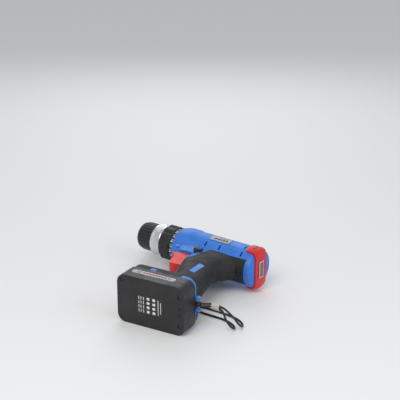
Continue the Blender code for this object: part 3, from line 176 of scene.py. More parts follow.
@dataclass
class ShaderGroup:
    """A shared node group that gives a colour, a roughness and a height.

    Args:
        kind: The pattern that it makes.
        clouds: Scale, detail, low and high limit of the slow change of colour.
        smudges: Scale, detail, low and high limit of the change of roughness.
        grain_detail: Finer layers of the grain.
        brush: How far the grain is drawn out along each axis on brushed metal.
        scratches: Low and high limit of the lines that show as scratches.
        polish: Low and high limit of the lines that take the polish.
    """

    kind: Kind
    clouds: tuple = (38.0, 4.0, 0.35, 0.68)
    smudges: tuple = (95.0, 5.0, 0.30, 0.72)
    grain_detail: float = 2.0
    brush: tuple = (0.06, 1.0, 1.0)
    scratches: tuple = (0.62, 0.70)
    polish: tuple = (0.2, 0.8)
    tree: bpy.types.NodeTree = field(init=False)
    given: bpy.types.Node = field(init=False)
    out: bpy.types.Node = field(init=False)
    place: bpy.types.Node = field(init=False)

    def __post_init__(self) -> None:
        """Makes the group's sockets and its nodes."""
        self.tree = bpy.data.node_groups.new(f"{self.kind.value}_surface", "ShaderNodeTree")
        for name in ("Base", "Shade"):
            self.socket(name, "INPUT", "NodeSocketColor")
        for name in ("Grain", "Rough low", "Rough high"):
            self.socket(name, "INPUT", "NodeSocketFloat")
        self.socket("Color", "OUTPUT", "NodeSocketColor")
        self.socket("Roughness", "OUTPUT", "NodeSocketFloat")
        self.socket("Height", "OUTPUT", "NodeSocketFloat")
        self.given = self.tree.nodes.new("NodeGroupInput")
        self.out = self.tree.nodes.new("NodeGroupOutput")
        self.place = self.tree.nodes.new("ShaderNodeTexCoord")
        self.build()

    def socket(self, name: str, side: str, kind: str) -> None:
        """Adds one socket to the group."""
        self.tree.interface.new_socket(name=name, in_out=side, socket_type=kind)

    def link(self, source: bpy.types.NodeSocket, target: bpy.types.NodeSocket) -> None:
        """Joins two sockets."""
        self.tree.links.new(source, target)

    def noise(
        self, scale: float | bpy.types.NodeSocket, detail: float, stretch: tuple = ()
    ) -> bpy.types.NodeSocket:
        """A noise over the object's own coordinates.

        Args:
            scale: Repeats to the metre, or the socket that gives it.
            detail: Number of finer layers.
            stretch: Scale along each axis, if it differs.

        Returns:
            The noise's value socket.
        """
        node = self.tree.nodes.new("ShaderNodeTexNoise")
        node.inputs["Detail"].default_value = detail
        source = self.place.outputs["Object"]
        if stretch:
            mapping = self.tree.nodes.new("ShaderNodeMapping")
            mapping.inputs["Scale"].default_value = stretch
            self.link(source, mapping.inputs["Vector"])
            source = mapping.outputs["Vector"]
        self.link(source, node.inputs["Vector"])
        if isinstance(scale, bpy.types.NodeSocket):
            self.link(scale, node.inputs["Scale"])
        else:
            node.inputs["Scale"].default_value = scale
        return node.outputs["Fac"]

    def ramp(self, value: bpy.types.NodeSocket, low: float, high: float) -> bpy.types.NodeSocket:
        """Stretches a value between two limits to the range 0 to 1.

        Args:
            value: The value.
            low: Limit that gives 0.
            high: Limit that gives 1.

        Returns:
            The stretched value's socket.
        """
        node = self.tree.nodes.new("ShaderNodeMapRange")
        node.inputs["From Min"].default_value = low
        node.inputs["From Max"].default_value = high
        self.link(value, node.inputs["Value"])
        return node.outputs["Result"]

    def patches(self, scale: float, detail: float, low: float, high: float) -> bpy.types.NodeSocket:
        """A mask of soft patches from a noise and its two limits."""
        return self.ramp(self.noise(scale, detail), low, high)

    def mix(
        self, amount: bpy.types.NodeSocket, first: bpy.types.NodeSocket, second: bpy.types.NodeSocket
    ) -> bpy.types.NodeSocket:
        """Mixes two colours by a mask.

        Args:
            amount: The mask.
            first: Colour where it is 0.
            second: Colour where it is 1.

        Returns:
            The mixed colour's socket.
        """
        node = self.tree.nodes.new("ShaderNodeMix")
        node.data_type = "RGBA"
        self.link(amount, node.inputs["Factor"])
        self.link(first, node.inputs["A"])
        self.link(second, node.inputs["B"])
        return node.outputs["Result"]

    def combine(
        self, operation: str, first: bpy.types.NodeSocket, second: bpy.types.NodeSocket
    ) -> bpy.types.NodeSocket:
        """One sum on two values.

        Args:
            operation: Blender's name of the sum.
            first: First value.
            second: Second value.

        Returns:
            The result's socket.
        """
        node = self.tree.nodes.new("ShaderNodeMath")
        node.operation = operation
        self.link(first, node.inputs[0])
        self.link(second, node.inputs[1])
        return node.outputs["Value"]

    def spread(self, value: bpy.types.NodeSocket) -> bpy.types.NodeSocket:
        """Spreads a mask over the roughness's two limits.

        Args:
            value: The mask.

        Returns:
            The roughness's socket.
        """
        node = self.tree.nodes.new("ShaderNodeMapRange")
        self.link(value, node.inputs["Value"])
        self.link(self.given.outputs["Rough low"], node.inputs["To Min"])
        self.link(self.given.outputs["Rough high"], node.inputs["To Max"])
        return node.outputs["Result"]

    def build(self) -> None:
        """Makes the nodes of this kind of surface."""
        grain = self.given.outputs["Grain"]
        shade = self.given.outputs["Shade"]
        color = self.mix(self.patches(*self.clouds), self.given.outputs["Base"], shade)
        height = self.noise(grain, self.grain_detail)
        smudge = self.patches(*self.smudges)
        if self.kind is Kind.RUBBER:
            cells = self.tree.nodes.new("ShaderNodeTexVoronoi")
            self.link(self.place.outputs["Object"], cells.inputs["Vector"])
            self.link(grain, cells.inputs["Scale"])
            height = self.combine("ADD", height, cells.outputs["Distance"])
        if self.kind is Kind.BRUSHED:
            height = self.noise(grain, self.grain_detail, self.brush)
            color = self.mix(self.ramp(height, *self.scratches), color, shade)
            smudge = self.combine("MULTIPLY", smudge, self.ramp(height, *self.polish))
        self.link(color, self.out.inputs["Color"])
        self.link(self.spread(smudge), self.out.inputs["Roughness"])
        self.link(height, self.out.inputs["Height"])


@dataclass
class Finishes:
    """Makes each material once and hands it out.

    Args:
        edge_radius: Roundness that every edge shows.
        edge_samples: Rays that find the edges.
        groups: The shared node groups, by kind.
        made: The materials, by name.
    """

    edge_radius: float = 0.0004
    edge_samples: int = 4
    groups: dict = field(default_factory=dict)
    made: dict = field(default_factory=dict)

    def get(self, name: str) -> bpy.types.Material:
        """The material of a finish.

        Args:
            name: A key of FINISHES.

        Returns:
            The material, made when it is first asked for.
        """
        if name not in self.made:
            self.made[name] = self.make(name, FINISHES[name])
        return self.made[name]

    def make(self, name: str, look: Finish) -> bpy.types.Material:
        """Builds one material around its shared group.

        Args:
            name: The material's name.
            look: Its finish.

        Returns:
            The material.
        """
        if look.kind not in self.groups:
            self.groups[look.kind] = ShaderGroup(look.kind).tree
        material = bpy.data.materials.new(name)
        material.use_nodes = True
        tree = material.node_tree
        shader = tree.nodes["Principled BSDF"]
        group = tree.nodes.new("ShaderNodeGroup")
        group.node_tree = self.groups[look.kind]
        group.inputs["Base"].default_value = (*look.base, 1.0)
        group.inputs["Shade"].default_value = (*look.shade, 1.0)
        group.inputs["Grain"].default_value = look.grain
        group.inputs["Rough low"].default_value = look.rough[0]
        group.inputs["Rough high"].default_value = look.rough[1]
        bump = tree.nodes.new("ShaderNodeBump")
        bump.inputs["Distance"].default_value = look.bump
        edges = tree.nodes.new("ShaderNodeBevel")
        edges.samples = self.edge_samples
        edges.inputs["Radius"].default_value = self.edge_radius
        tree.links.new(edges.outputs["Normal"], bump.inputs["Normal"])
        tree.links.new(group.outputs["Color"], shader.inputs["Base Color"])
        tree.links.new(group.outputs["Roughness"], shader.inputs["Roughness"])
        tree.links.new(group.outputs["Height"], bump.inputs["Height"])
        tree.links.new(bump.outputs["Normal"], shader.inputs["Normal"])
        shader.inputs["Metallic"].default_value = look.metallic
        shader.inputs["Coat Weight"].default_value = look.coat
        return material


def smooth(obj: bpy.types.Object, angle: float = SHARP_EDGE, weld: bool = False) -> None:
    """Shades an object smoothly, with sharp edges kept sharp.

    Args:
        obj: A mesh object.
        angle: Edges sharper than this, in degrees, stay sharp.
        weld: True joins vertices that lie on each other first.
    """
    obj.data.polygons.foreach_set("use_smooth", [True] * len(obj.data.polygons))
    if weld:
        joined = obj.modifiers.new("joined", "WELD")
        joined.merge_threshold = ON_EACH_OTHER
    split = obj.modifiers.new("sharp", "EDGE_SPLIT")
    split.split_angle = math.radians(angle)


@dataclass
class Builder:
    """Makes pieces and puts them on their bodies.

    Args:
        finishes: Where the materials come from.
        bar_corner: Corner of a printed bar, as a share of its shorter side.
        bar_steps: Steps round a printed bar's corner.
        plate_steps: Steps round a plate's corner.
        soft_edge: Round of a plate's upper edge, as a share of its thickness or corner.
        soft_start: Where that round's middle lies.
    """

    finishes: Finishes
    bar_corner: float = 0.3
    bar_steps: int = 3
    plate_steps: int = 5
    soft_edge: float = 0.4
    soft_start: float = 0.3

    def add(
        self, name: str, shape: bmesh.types.BMesh, finish: str, body: str, matrix: Matrix
    ) -> bpy.types.Object:
        """Turns a shape into a piece.

        Args:
            name: The piece's name.
            shape: Its mesh, used up.
            finish: Its finish.
            body: The CAD body that it rides on.
            matrix: Where it goes.

        Returns:
            The piece.
        """
        shape.transform(matrix)
        bmesh.ops.recalc_face_normals(shape, faces=shape.faces)
        mesh = bpy.data.meshes.new(name)
        shape.to_mesh(mesh)
        shape.free()
        obj = bpy.data.objects.new(name, mesh)
        bpy.context.scene.collection.objects.link(obj)
        obj.data.materials.append(self.finishes.get(finish))
        smooth(obj)
        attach(obj, body)
        return obj

    def lathe(self, rings: list, sides: int, wave: Callable[[float], float]) -> bmesh.types.BMesh:
        """A closed turned shape about the X axis.

        Args:
            rings: (x, radius, depth) of each ring, the last joined to the first.
            sides: Number of steps round the axis.
            wave: Function of the angle that gives 0 where the cut is deepest and 1 where there is none.

        Returns:
            The shape.
        """
        shape = bmesh.new()
        loops = []
        for x, radius, depth in rings:
            loop = []
            for i in range(sides):
                angle = 2 * math.pi * i / sides
                reach = radius - depth * (1 - wave(angle))
                loop.append(shape.verts.new((x, reach * math.cos(angle), reach * math.sin(angle))))
            loops.append(loop)
        for a, b in zip(loops, loops[1:] + loops[:1]):
            for i in range(sides):
                shape.faces.new((a[i], a[(i + 1) % sides], b[(i + 1) % sides], b[i]))
        return shape

    def bars(self, name: str, marks: tuple, finish: str, body: str, matrix: Matrix) -> None:
        """Flat printed bars, all one piece.

        Args:
            name: The piece's name.
            marks: (x, y, width, height) of each bar.
            finish: Its finish.
            body: The CAD body that it rides on.
            matrix: Where the label's middle lies.
        """
        shape = bmesh.new()
        for x, y, width, height in marks:
            corner = min(width, height) * self.bar_corner
            bar = self.slab(width, height, PRINT_THICKNESS, corner, self.bar_steps)
            bar.transform(Matrix.Translation((x, y, 0)))
            mesh = bpy.data.meshes.new("bar")
            bar.to_mesh(mesh)
            bar.free()
            shape.from_mesh(mesh)
            bpy.data.meshes.remove(mesh)
        self.add(name, shape, finish, body, matrix)

    def slab(
        self, width: float, height: float, thick: float, corner: float, steps: int
    ) -> bmesh.types.BMesh:
        """A flat plate in XY with round corners and a soft upper edge.

        Args:
            width: Size along X.
            height: Size along Y.
            thick: Size along Z, from 0 up.
            corner: Radius of its corners.
            steps: Steps round each corner.

        Returns:
            The shape.
        """
        soft = min(thick * self.soft_edge, corner * self.soft_edge)
        start = soft * self.soft_start
        levels = ((0.0, 0.0), (thick - soft, 0.0), (thick - start, start), (thick, soft))
        sides = ((1, 1), (-1, 1), (-1, -1), (1, -1))
        shape = bmesh.new()
        loops = []
        for z, inset in levels:
            loop = []
            for quarter, (across, along) in enumerate(sides):
                turn = math.pi / 2 * quarter
                middle = Vector(((width / 2 - corner) * across, (height / 2 - corner) * along))
                for i in range(steps + 1):
                    angle = turn + math.pi / 2 * i / steps
                    point = middle + Vector((math.cos(angle), math.sin(angle))) * (corner - inset)
                    loop.append(shape.verts.new((point.x, point.y, z)))
            loops.append(loop)
        for a, b in zip(loops, loops[1:]):
            for i in range(len(a)):
                shape.faces.new((a[i], a[(i + 1) % len(a)], b[(i + 1) % len(b)], b[i]))
        shape.faces.new(loops[0][::-1])
        shape.faces.new(loops[-1])
        return shape


@dataclass
class Carried:
    """The CAD nodes whose shape is right, with their finishes.

    Args:
        finishes: Where the materials come from.
    """

    finishes: Finishes

    def build(self) -> None:
        """Gives every node its finish and smooth shading."""
        slots = {part["node"]: part["material_slot"] for part in frame["record"]["subparts"]}
        for name, obj in frame["nodes"].items():
            material = self.finishes.get(slots[name])
            if obj.material_slots:
                for place in obj.material_slots:
                    place.material = material
            else:
                obj.data.materials.append(material)
            smooth(obj, weld=True)
        LOG.info("carried %d nodes", len(frame["nodes"]))


@dataclass
class Chuck:
    """Ribbed sleeve and knurled ring. Steps are (distance from that end, radius, depth of cut).

    Args:
        make: The piece maker.
        sleeve_ends: Front and rear of the sleeve, from the housing's nose.
        sleeve_start: Steps from the sleeve's front.
        sleeve_finish: Steps from the sleeve's rear.
        sleeve_bore: Radius inside the sleeve.
        nose_bore: Radius of the opening in its front.
        lip: Thickness of its front.
        ribs: Number of ribs round the sleeve.
        rib_steps: Steps round each rib.
        rib_fill: How wide the ribs are.
        rib_round: How round the ribs are.
        ring_ends: Front and rear of the ring.
        ring_start: Steps from the ring's front.
        ring_finish: Steps from the ring's rear.
        ring_bore: Radius inside the ring.
        ridges: Number of ridges round the ring.
        ridge_steps: Steps round each ridge.
    """

    make: Builder
    sleeve_ends: tuple = (-0.0665, -0.0405)
    sleeve_start: tuple = (
        (0.0, 0.0150, 0.0), (0.0006, 0.0160, 0.0), (0.0020, 0.0175, 0.0), (0.0034, 0.0180, 0.0002),
        (0.0060, 0.0187, 0.0009), (0.0080, 0.0192, 0.0011),
    )
    sleeve_finish: tuple = (
        (0.0034, 0.0192, 0.0011), (0.0024, 0.0192, 0.0003), (0.0016, 0.0192, 0.0), (0.0004, 0.0192, 0.0),
        (0.0, 0.0188, 0.0),
    )
    sleeve_bore: float = 0.0149
    nose_bore: float = 0.0096
    lip: float = 0.0028
    ribs: int = 26
    rib_steps: int = 10
    rib_fill: float = 1.25
    rib_round: float = 0.7
    ring_ends: tuple = (-0.0401, -0.0245)
    ring_start: tuple = (
        (0.0, 0.0205, 0.0), (0.0004, 0.0212, 0.0), (0.0010, 0.0215, 0.0), (0.0034, 0.0215, 0.0),
        (0.0038, 0.0215, 0.0003),
    )
    ring_finish: tuple = (
        (0.0038, 0.0215, 0.0003), (0.0034, 0.0215, 0.0), (0.0010, 0.0215, 0.0), (0.0004, 0.0212, 0.0),
        (0.0, 0.0205, 0.0),
    )
    ring_bore: float = 0.0164
    ridges: int = 84
    ridge_steps: int = 6

    def build(self) -> None:
        """Makes the sleeve and the ring."""
        place = Matrix.Translation(NOSE)
        sleeve = self.make.lathe(self.sleeve_rings(), self.ribs * self.rib_steps, self.rib)
        piece = self.make.add("ribbed_sleeve", sleeve, "black_plastic", "sleeve", place)
        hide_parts("chuck_sleeve")
        ring = self.make.lathe(self.ring_rings(), self.ridges * self.ridge_steps, self.ridge)
        piece = self.make.add("knurled_ring", ring, "bright_metal", "chuck", place)
        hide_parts("chuck_ring")
        LOG.info("chuck: sleeve and ring")

    def outside(self, ends: tuple, start: tuple, finish: tuple) -> list:
        """The steps of a turned outside, from its front to its rear.

        Args:
            ends: Front and rear.
            start: Steps from the front.
            finish: Steps from the rear.

        Returns:
            (x, radius, depth) of each step.
        """
        front, rear = ends
        steps = [(front + away, radius, depth) for away, radius, depth in start]
        return steps + [(rear - away, radius, depth) for away, radius, depth in finish]

    def sleeve_rings(self) -> list:
        """The whole section of the sleeve.

        Returns:
            (x, radius, depth) of each step.
        """
        front, rear = self.sleeve_ends
        inside = [
            (rear, self.sleeve_bore, 0), (front + self.lip, self.sleeve_bore, 0),
            (front + self.lip, self.nose_bore, 0), (front, self.nose_bore, 0),
        ]
        return self.outside(self.sleeve_ends, self.sleeve_start, self.sleeve_finish) + inside

    def ring_rings(self) -> list:
        """The whole section of the ring.

        Returns:
            (x, radius, depth) of each step.
        """
        front, rear = self.ring_ends
        inside = [(rear, self.ring_bore, 0), (front, self.ring_bore, 0)]
        return self.outside(self.ring_ends, self.ring_start, self.ring_finish) + inside

    def rib(self, angle: float) -> float:
        """Height of the sleeve's ribs at an angle."""
        return min(1.0, self.rib_fill * abs(math.sin(angle * self.ribs / 2)) ** self.rib_round)

    def ridge(self, angle: float) -> float:
        """Height of the ring's ridges at an angle."""
        return 0.5 + 0.5 * math.cos(angle * self.ridges)


@dataclass
class Collar:
    """Lobed torque collar and the numbers round its band.

    Args:
        make: The piece maker.
        front: Its front end, from the housing's nose.
        pads_rear: Where the grip pads end and the band begins.
        rear: Its rear end.
        pads_start: (distance from the front, radius, depth of the valleys) of each step.
        pads_finish: The same from the pads' rear end.
        band_radius: Radius of the numbered band.
        band_edge: Chamfer of the band's rear edge.
        hole: Radius of the opening in its front.
        bore: Radius inside.
        wall: Thickness of its front.
        lobes: Number of grip pads.
        lobe_steps: Steps round each pad.
        valley: How narrow the valleys between the pads are.
        numbers: Number of marks round the band.
        number_size: Size of the figures.
        number_weight: How far the figures' strokes are thickened.
        number_height: How far the figures stand out.
    """

    make: Builder
    front: float = -0.0241
    pads_rear: float = -0.0061
    rear: float = -0.0008
    pads_start: tuple = (
        (0.0, 0.0218, 0.0), (0.0006, 0.0230, 0.0006), (0.0016, 0.0240, 0.0016), (0.0030, 0.0240, 0.0020),
    )
    pads_finish: tuple = ((0.0026, 0.0240, 0.0020), (0.0012, 0.0239, 0.0016), (0.0003, 0.0232, 0.0006))
    band_radius: float = 0.0222
    band_edge: float = 0.0003
    hole: float = 0.0149
    bore: float = 0.0166
    wall: float = 0.0022
    lobes: int = 12
    lobe_steps: int = 24
    valley: float = 3
    numbers: int = 20
    number_size: float = 0.0054
    number_weight: float = 0.00006
    number_height: float = 0.00008

    def build(self) -> None:
        """Makes the collar and its numbers."""
        shape = self.make.lathe(self.rings(), self.lobes * self.lobe_steps, self.lobe)
        piece = self.make.add("lobed_collar", shape, "black_plastic", "collar", Matrix.Translation(NOSE))
        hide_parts("torque_collar")
        for index in range(self.numbers):
            self.number(index)
        LOG.info("collar: lobes and %d numbers", self.numbers)

    def rings(self) -> list:
        """The whole section of the collar.

        Returns:
            (x, radius, depth) of each step.
        """
        inner = self.front + self.wall
        outside = [(self.front + away, radius, depth) for away, radius, depth in self.pads_start]
        outside += [(self.pads_rear - away, radius, depth) for away, radius, depth in self.pads_finish]
        return outside + [
            (self.pads_rear, self.band_radius, 0), (self.rear - self.band_edge, self.band_radius, 0),
            (self.rear, self.band_radius - self.band_edge, 0), (self.rear, self.bore, 0),
            (inner, self.bore, 0), (inner, self.hole, 0), (self.front, self.hole, 0),
        ]

    def lobe(self, angle: float) -> float:
        """Height of the grip pads at an angle: wide pads with narrow valleys."""
        return 1 - (0.5 + 0.5 * math.cos(angle * self.lobes)) ** self.valley

    def number(self, index: int) -> None:
        """Makes one number, standing on the band.

        Args:
            index: Its place round the band.
        """
        text = bpy.data.curves.new(f"number_curve_{index + 1}", "FONT")
        text.body = str(index + 1)
        text.size = self.number_size
        text.offset = self.number_weight
        text.extrude = self.number_height
        text.align_x = "CENTER"
        text.align_y = "CENTER"
        source = bpy.data.objects.new(f"number_text_{index + 1}", text)
        bpy.context.scene.collection.objects.link(source)
        bpy.context.view_layer.update()
        mesh = bpy.data.meshes.new_from_object(source)
        bpy.data.objects.remove(source)
        shape = bmesh.new()
        shape.from_mesh(mesh)
        middle = (self.pads_rear + self.rear) / 2
        upright = Matrix(((0, 1, 0, middle), (-1, 0, 0, 0), (0, 0, 1, self.band_radius), (0, 0, 0, 1)))
        turn = Matrix.Rotation(-2 * math.pi * index / self.numbers, 4, "X")
        place = Matrix.Translation(NOSE) @ turn @ upright
        self.make.add(f"band_number_{index + 1}", shape, "white_print", "collar", place)


# Wrist cord: half the gap between its strands, the crimp's side, and the floor, from the strap pin's middle.
STRAND = 0.00165
CRIMP = 0.0070
FLOOR = -0.0301


@dataclass
class WristCord:
    """The black wrist cord, through its crimp and round on the floor.

    Args:
        finishes: Where the materials come from.
        radius: Half its thickness.
        steps: Steps between two points of the route.
        resolution: Fineness round the cord.
        route: Points that it follows, from the strap pin's middle.
    """

    finishes: Finishes
    radius: float = 0.0013
    steps: int = 8
    resolution: int = 5
    route: tuple = (
        (0.0041, 0.0006, -STRAND), (0.0080, 0.0026, -STRAND), (0.0115, 0.0052, -STRAND),
    (0.0150, CRIMP, -STRAND), (0.0215, CRIMP, -STRAND), (0.0280, CRIMP, -STRAND),
    (0.0320, 0.0072, -0.0050), (0.0346, 0.0091, -0.0140), (0.0376, 0.0139, -0.0235),
    (0.0381, 0.0204, -0.0288), (0.0336, 0.0269, FLOOR), (0.0246, 0.0314, FLOOR),
    (0.0126, 0.0339, FLOOR), (-0.0034, 0.0334, FLOOR), (-0.0174, 0.0330, FLOOR),
    (-0.0280, 0.0345, FLOOR), (-0.0335, 0.0398, FLOOR), (-0.0280, 0.0450, FLOOR),
    (-0.0174, 0.0468, FLOOR), (-0.0034, 0.0474, FLOOR), (0.0126, 0.0469, FLOOR),
    (0.0266, 0.0444, FLOOR), (0.0376, 0.0384, FLOOR), (0.0426, 0.0304, -0.0288),
    (0.0431, 0.0229, -0.0225), (0.0406, 0.0169, -0.0130), (0.0360, 0.0115, -0.0045),
    (0.0320, 0.0080, 0.0005), (0.0280, CRIMP, STRAND), (0.0215, CRIMP, STRAND),
    (0.0150, CRIMP, STRAND), (0.0115, 0.0052, STRAND), (0.0080, 0.0026, STRAND),
    (0.0041, 0.0006, STRAND),
    )

    def line(self) -> list:
        """The cord's middle line, smoothed through its route.

        Returns:
            Its points.
        """
        low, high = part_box("strap_pin")
        anchor = (low + high) / 2
        points = [anchor + Vector(point) for point in self.route]
        ends = [points[0] * 2 - points[1], *points, points[-1] * 2 - points[-2]]
        line = []
        for a, b, c, d in zip(ends, ends[1:], ends[2:], ends[3:]):
            for i in range(self.steps):
                t = i / self.steps
                square = 2 * a - 5 * b + 4 * c - d
                cube = 3 * b - a - 3 * c + d
                line.append(0.5 * (2 * b + (c - a) * t + square * t * t + cube * t ** 3))
        return line + [points[-1]]

    def build(self) -> None:
        line = self.line()
        curve = bpy.data.curves.new("loop_cord", "CURVE")
        curve.dimensions = "3D"
        curve.bevel_depth = self.radius
        curve.bevel_resolution = self.resolution
        curve.use_fill_caps = True
        spline = curve.splines.new("POLY")
        spline.points.add(len(line) - 1)
        for point, place in zip(spline.points, line):
            point.co = (*place, 1.0)
        obj = bpy.data.objects.new("loop_cord", curve)
        bpy.context.scene.collection.objects.link(obj)
        curve.materials.append(self.finishes.get("black_cord"))
        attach(obj, "housing")
        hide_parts("wrist_cord")


@dataclass
class PackDetails:
    """Screws with driver recesses, the strip at the pack's front end, and the prints on its labels.

    Bars are (x, y, width, height) from the label's middle.

    Args:
        make: The piece maker.
        tilt: Turn of the pack about Z.
        origin: Middle of its base.
        length: Its length.
        screws: Place of each screw on the base.
        screw_profile: (distance out, radius, depth of the recess) of each step of a screw.
        screw_sides: Steps round a screw.
        recess_round: How narrow the arms of the recess are.
        strip_size: Width, height, thickness and corner of the end strip.
        strip_height: Height of the end strip's middle over the base.
        side_label: Middle of the side label.
        side_red: Red bars on the side label.
        side_dark: Dark bars on the side label.
        sticker_shift: Place of the base sticker's middle across the pack.
        sticker_marks: Bars on the base sticker.
    """

    make: Builder
    tilt: float = math.radians(7.5)
    origin: Vector = field(default_factory=lambda: Vector((0.04995, -0.09443, 0.0315)))
    length: float = 0.094
    screws: tuple = ((-0.0400, 0.0250), (-0.0400, -0.0250), (0.0405, 0.0190), (0.0405, -0.0190))
    screw_profile: tuple = (
        (-0.0080, 0.0, 0), (-0.0080, 0.0011, 0), (-0.0030, 0.0011, 0), (-0.0026, 0.0022, 0),
        (-0.0016, 0.0026, 0), (-0.0012, 0.0024, 0), (-0.0010, 0.0019, 0), (-0.0010, 0.0016, 0.0010),
        (-0.0018, 0.0012, 0.0008), (-0.0020, 0.0, 0),
    )
    screw_sides: int = 48
    recess_round: float = 1.5
    strip_size: tuple = (0.0260, 0.0052, 0.0003, 0.0010)
    strip_height: float = 0.0070
    side_label: tuple = (-0.0043, 0.0157)
    side_red: tuple = tuple((-0.0130 + 0.0042 * i, 0.0002, 0.0032, 0.0030) for i in range(8))
    side_dark: tuple = (
        (-0.0205, 0.0010, 0.0070, 0.0010), (-0.0205, -0.0012, 0.0052, 0.0008), (0.0215, 0.0, 0.0022, 0.0030),
    )
    sticker_shift: float = -0.0020
    sticker_marks: tuple = (
        *(
            (x, y, 0.0010, 0.0042)
            for x in (-0.0160, -0.0130, -0.0095) for y in (-0.0085, -0.0030, 0.0025, 0.0080)
        ),
        *((x, y, 0.0040, 0.0034) for x in (-0.0030, 0.0050) for y in (-0.0085, -0.0028, 0.0029, 0.0086)),
        (0.0110, 0.0, 0.0009, 0.0200), (0.0145, 0.0, 0.0009, 0.0150),
    )

    def build(self) -> None:
        """Makes the screws, the strip and the prints."""
        pack = Matrix.Translation(self.origin) @ Matrix.Rotation(self.tilt, 4, "Z")
        outward = Matrix.Rotation(math.radians(-90), 4, "Z")
        for index, (x, z) in enumerate(self.screws):
            self.screw(index, pack @ Matrix.Translation((x, 0, z)) @ outward)
        self.strip(pack)
        self.prints(pack)
        LOG.info("pack: screws, end strip and prints")

    def strip(self, pack: Matrix) -> None:
        """Makes the grey strip on the pack's front end.

        Args:
            pack: The pack's own place.
        """
        strip = self.make.slab(*self.strip_size, self.make.plate_steps)
        turn = Matrix(((0, 0, -1, 0), (0, 1, 0, 0), (1, 0, 0, 0), (0, 0, 0, 1)))
        place = pack @ Matrix.Translation((-self.length / 2, self.strip_height, 0.0)) @ turn
        self.make.add("end_strip", strip, "grey_label", "pack", place)

    def prints(self, pack: Matrix) -> None:
        """Makes the bars on the side label and on the base sticker.

        Args:
            pack: The pack's own place.
        """
        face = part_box("pack_label")[1].z - NOSE.z - PRINT_THICKNESS / 2
        side = pack @ Matrix.Translation((*self.side_label, face))
        self.make.bars("side_label_red", self.side_red, "red_print", "pack", side)
        self.make.bars("side_label_dark", self.side_dark, "dark_print", "pack", side)
        down = Matrix(
            ((1, 0, 0, 0), (0, 0, -1, PRINT_THICKNESS / 2), (0, 1, 0, self.sticker_shift), (0, 0, 0, 1))
        )
        self.make.bars("sticker_print", self.sticker_marks, "white_print", "pack", pack @ down)

    def recess(self, angle: float) -> float:
        """Shape of the screw's cross recess at an angle."""
        return max(0.0, math.cos(4 * angle)) ** self.recess_round

    def screw(self, index: int, place: Matrix) -> None:
        """Makes one screw with a cross recess, sunk in its hole.

        Args:
            index: Its number from 0.
            place: Its axis, X outwards, at the base's face.
        """
        shape = self.make.lathe(list(self.screw_profile), self.screw_sides, self.recess)
        bmesh.ops.remove_doubles(shape, verts=shape.verts, dist=SAME_PLACE)
        piece = self.make.add(f"base_screw_{index + 1}", shape, "dark_steel", "pack", place)
        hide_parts(f"pack_screw_{index + 1}")


@dataclass
class RearDetails:
    """Dark centre of the rear badge, the right-hand badge, the badge's print and flat dark bars of painted
    shade where the belt's slits are.

    Bars are (x, y, width, height) from the middle of what they lie on.

    Args:
        make: The piece maker.
        frame_width: How much smaller the rear badge's centre is than the badge.
        centre_thickness: Its thickness.
        centre_corner: Its corners.
        centre_sink: How far it sits in the badge.
        badge_red: Red bars on the side badge.
        badge_dark: Dark bars on the side badge.
        slits: Painted shade: flat dark bars where the slits in the belt's tab are.
        slit_shade_place: Their distance from the belt's front.
    """

    make: Builder
    frame_width: float = 0.0030
    centre_thickness: float = 0.0003
    centre_corner: float = 0.0012
    centre_sink: float = 0.0001
    badge_red: tuple = tuple((-0.0020 + 0.0034 * i, 0.0022, 0.0026, 0.0016) for i in range(4))
    badge_dark: tuple = tuple((-0.0080 + 0.0044 * i, -0.0014, 0.0034, 0.0022) for i in range(5))
    slits: tuple = ((0.0, -0.0024, 0.0052, 0.0014), (0.0, 0.0024, 0.0052, 0.0014))
    slit_shade_place: float = 0.0085

    def build(self) -> None:
        """Makes all the pieces."""
        self.badge_centre()
        self.right_badge()
        low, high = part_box("side_badge")
        middle = (low + high) / 2
        face = Matrix.Translation((middle.x, middle.y, high.z - PRINT_THICKNESS / 2))
        self.make.bars("side_badge_red", self.badge_red, "red_print", "housing", face)
        self.make.bars("side_badge_dark", self.badge_dark, "dark_print", "housing", face)
        # Painted shade: flat dark bars laid on the tab where its slits are, in place of the shadow inside
        # them.
        low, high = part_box("rear_belt")
        tab = Vector((low.x + self.slit_shade_place, (low.y + high.y) / 2, high.z - PRINT_THICKNESS / 2))
        self.make.bars("belt_slit_shade", self.slits, "painted_recess_shade", "housing", Matrix.Translation(tab))
        LOG.info("rear: badges, prints and slits")

    def badge_centre(self) -> None:
        """Makes the dark centre of the rear badge."""
        low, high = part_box("rear_badge")
        middle = (low + high) / 2
        width, height = high.z - low.z - self.frame_width, high.y - low.y - self.frame_width
        plate = self.make.slab(
            width, height, self.centre_thickness, self.centre_corner, self.make.plate_steps
        )
        turn = Matrix(
            ((0, 0, 1, high.x - self.centre_sink), (0, 1, 0, middle.y), (1, 0, 0, middle.z), (0, 0, 0, 1))
        )
        self.make.add("rear_badge_centre", plate, "gear_grey", "housing", turn)

    def right_badge(self) -> None:
        """Makes the badge on the right-hand side, the mirror of the left one."""
        copy = bmesh.new()
        copy.from_mesh(frame["nodes"]["side_badge"].data)
        bmesh.ops.remove_doubles(copy, verts=copy.verts, dist=ON_EACH_OTHER)
        mirror = Matrix(((1, 0, 0, 0), (0, 1, 0, 0), (0, 0, -1, 2 * NOSE.z), (0, 0, 0, 1)))
        self.make.add("right_side_badge", copy, "grey_label", "housing", mirror)


@dataclass(frozen=True)
class Lamp:
    """One large soft lamp.

    Args:
        name: Its name.
        place: Where it stands.
        size: Side of its square face.
        power: Watts.
        color: Its colour.
    """

    name: str
    place: tuple
    size: float
    power: float
    color: tuple


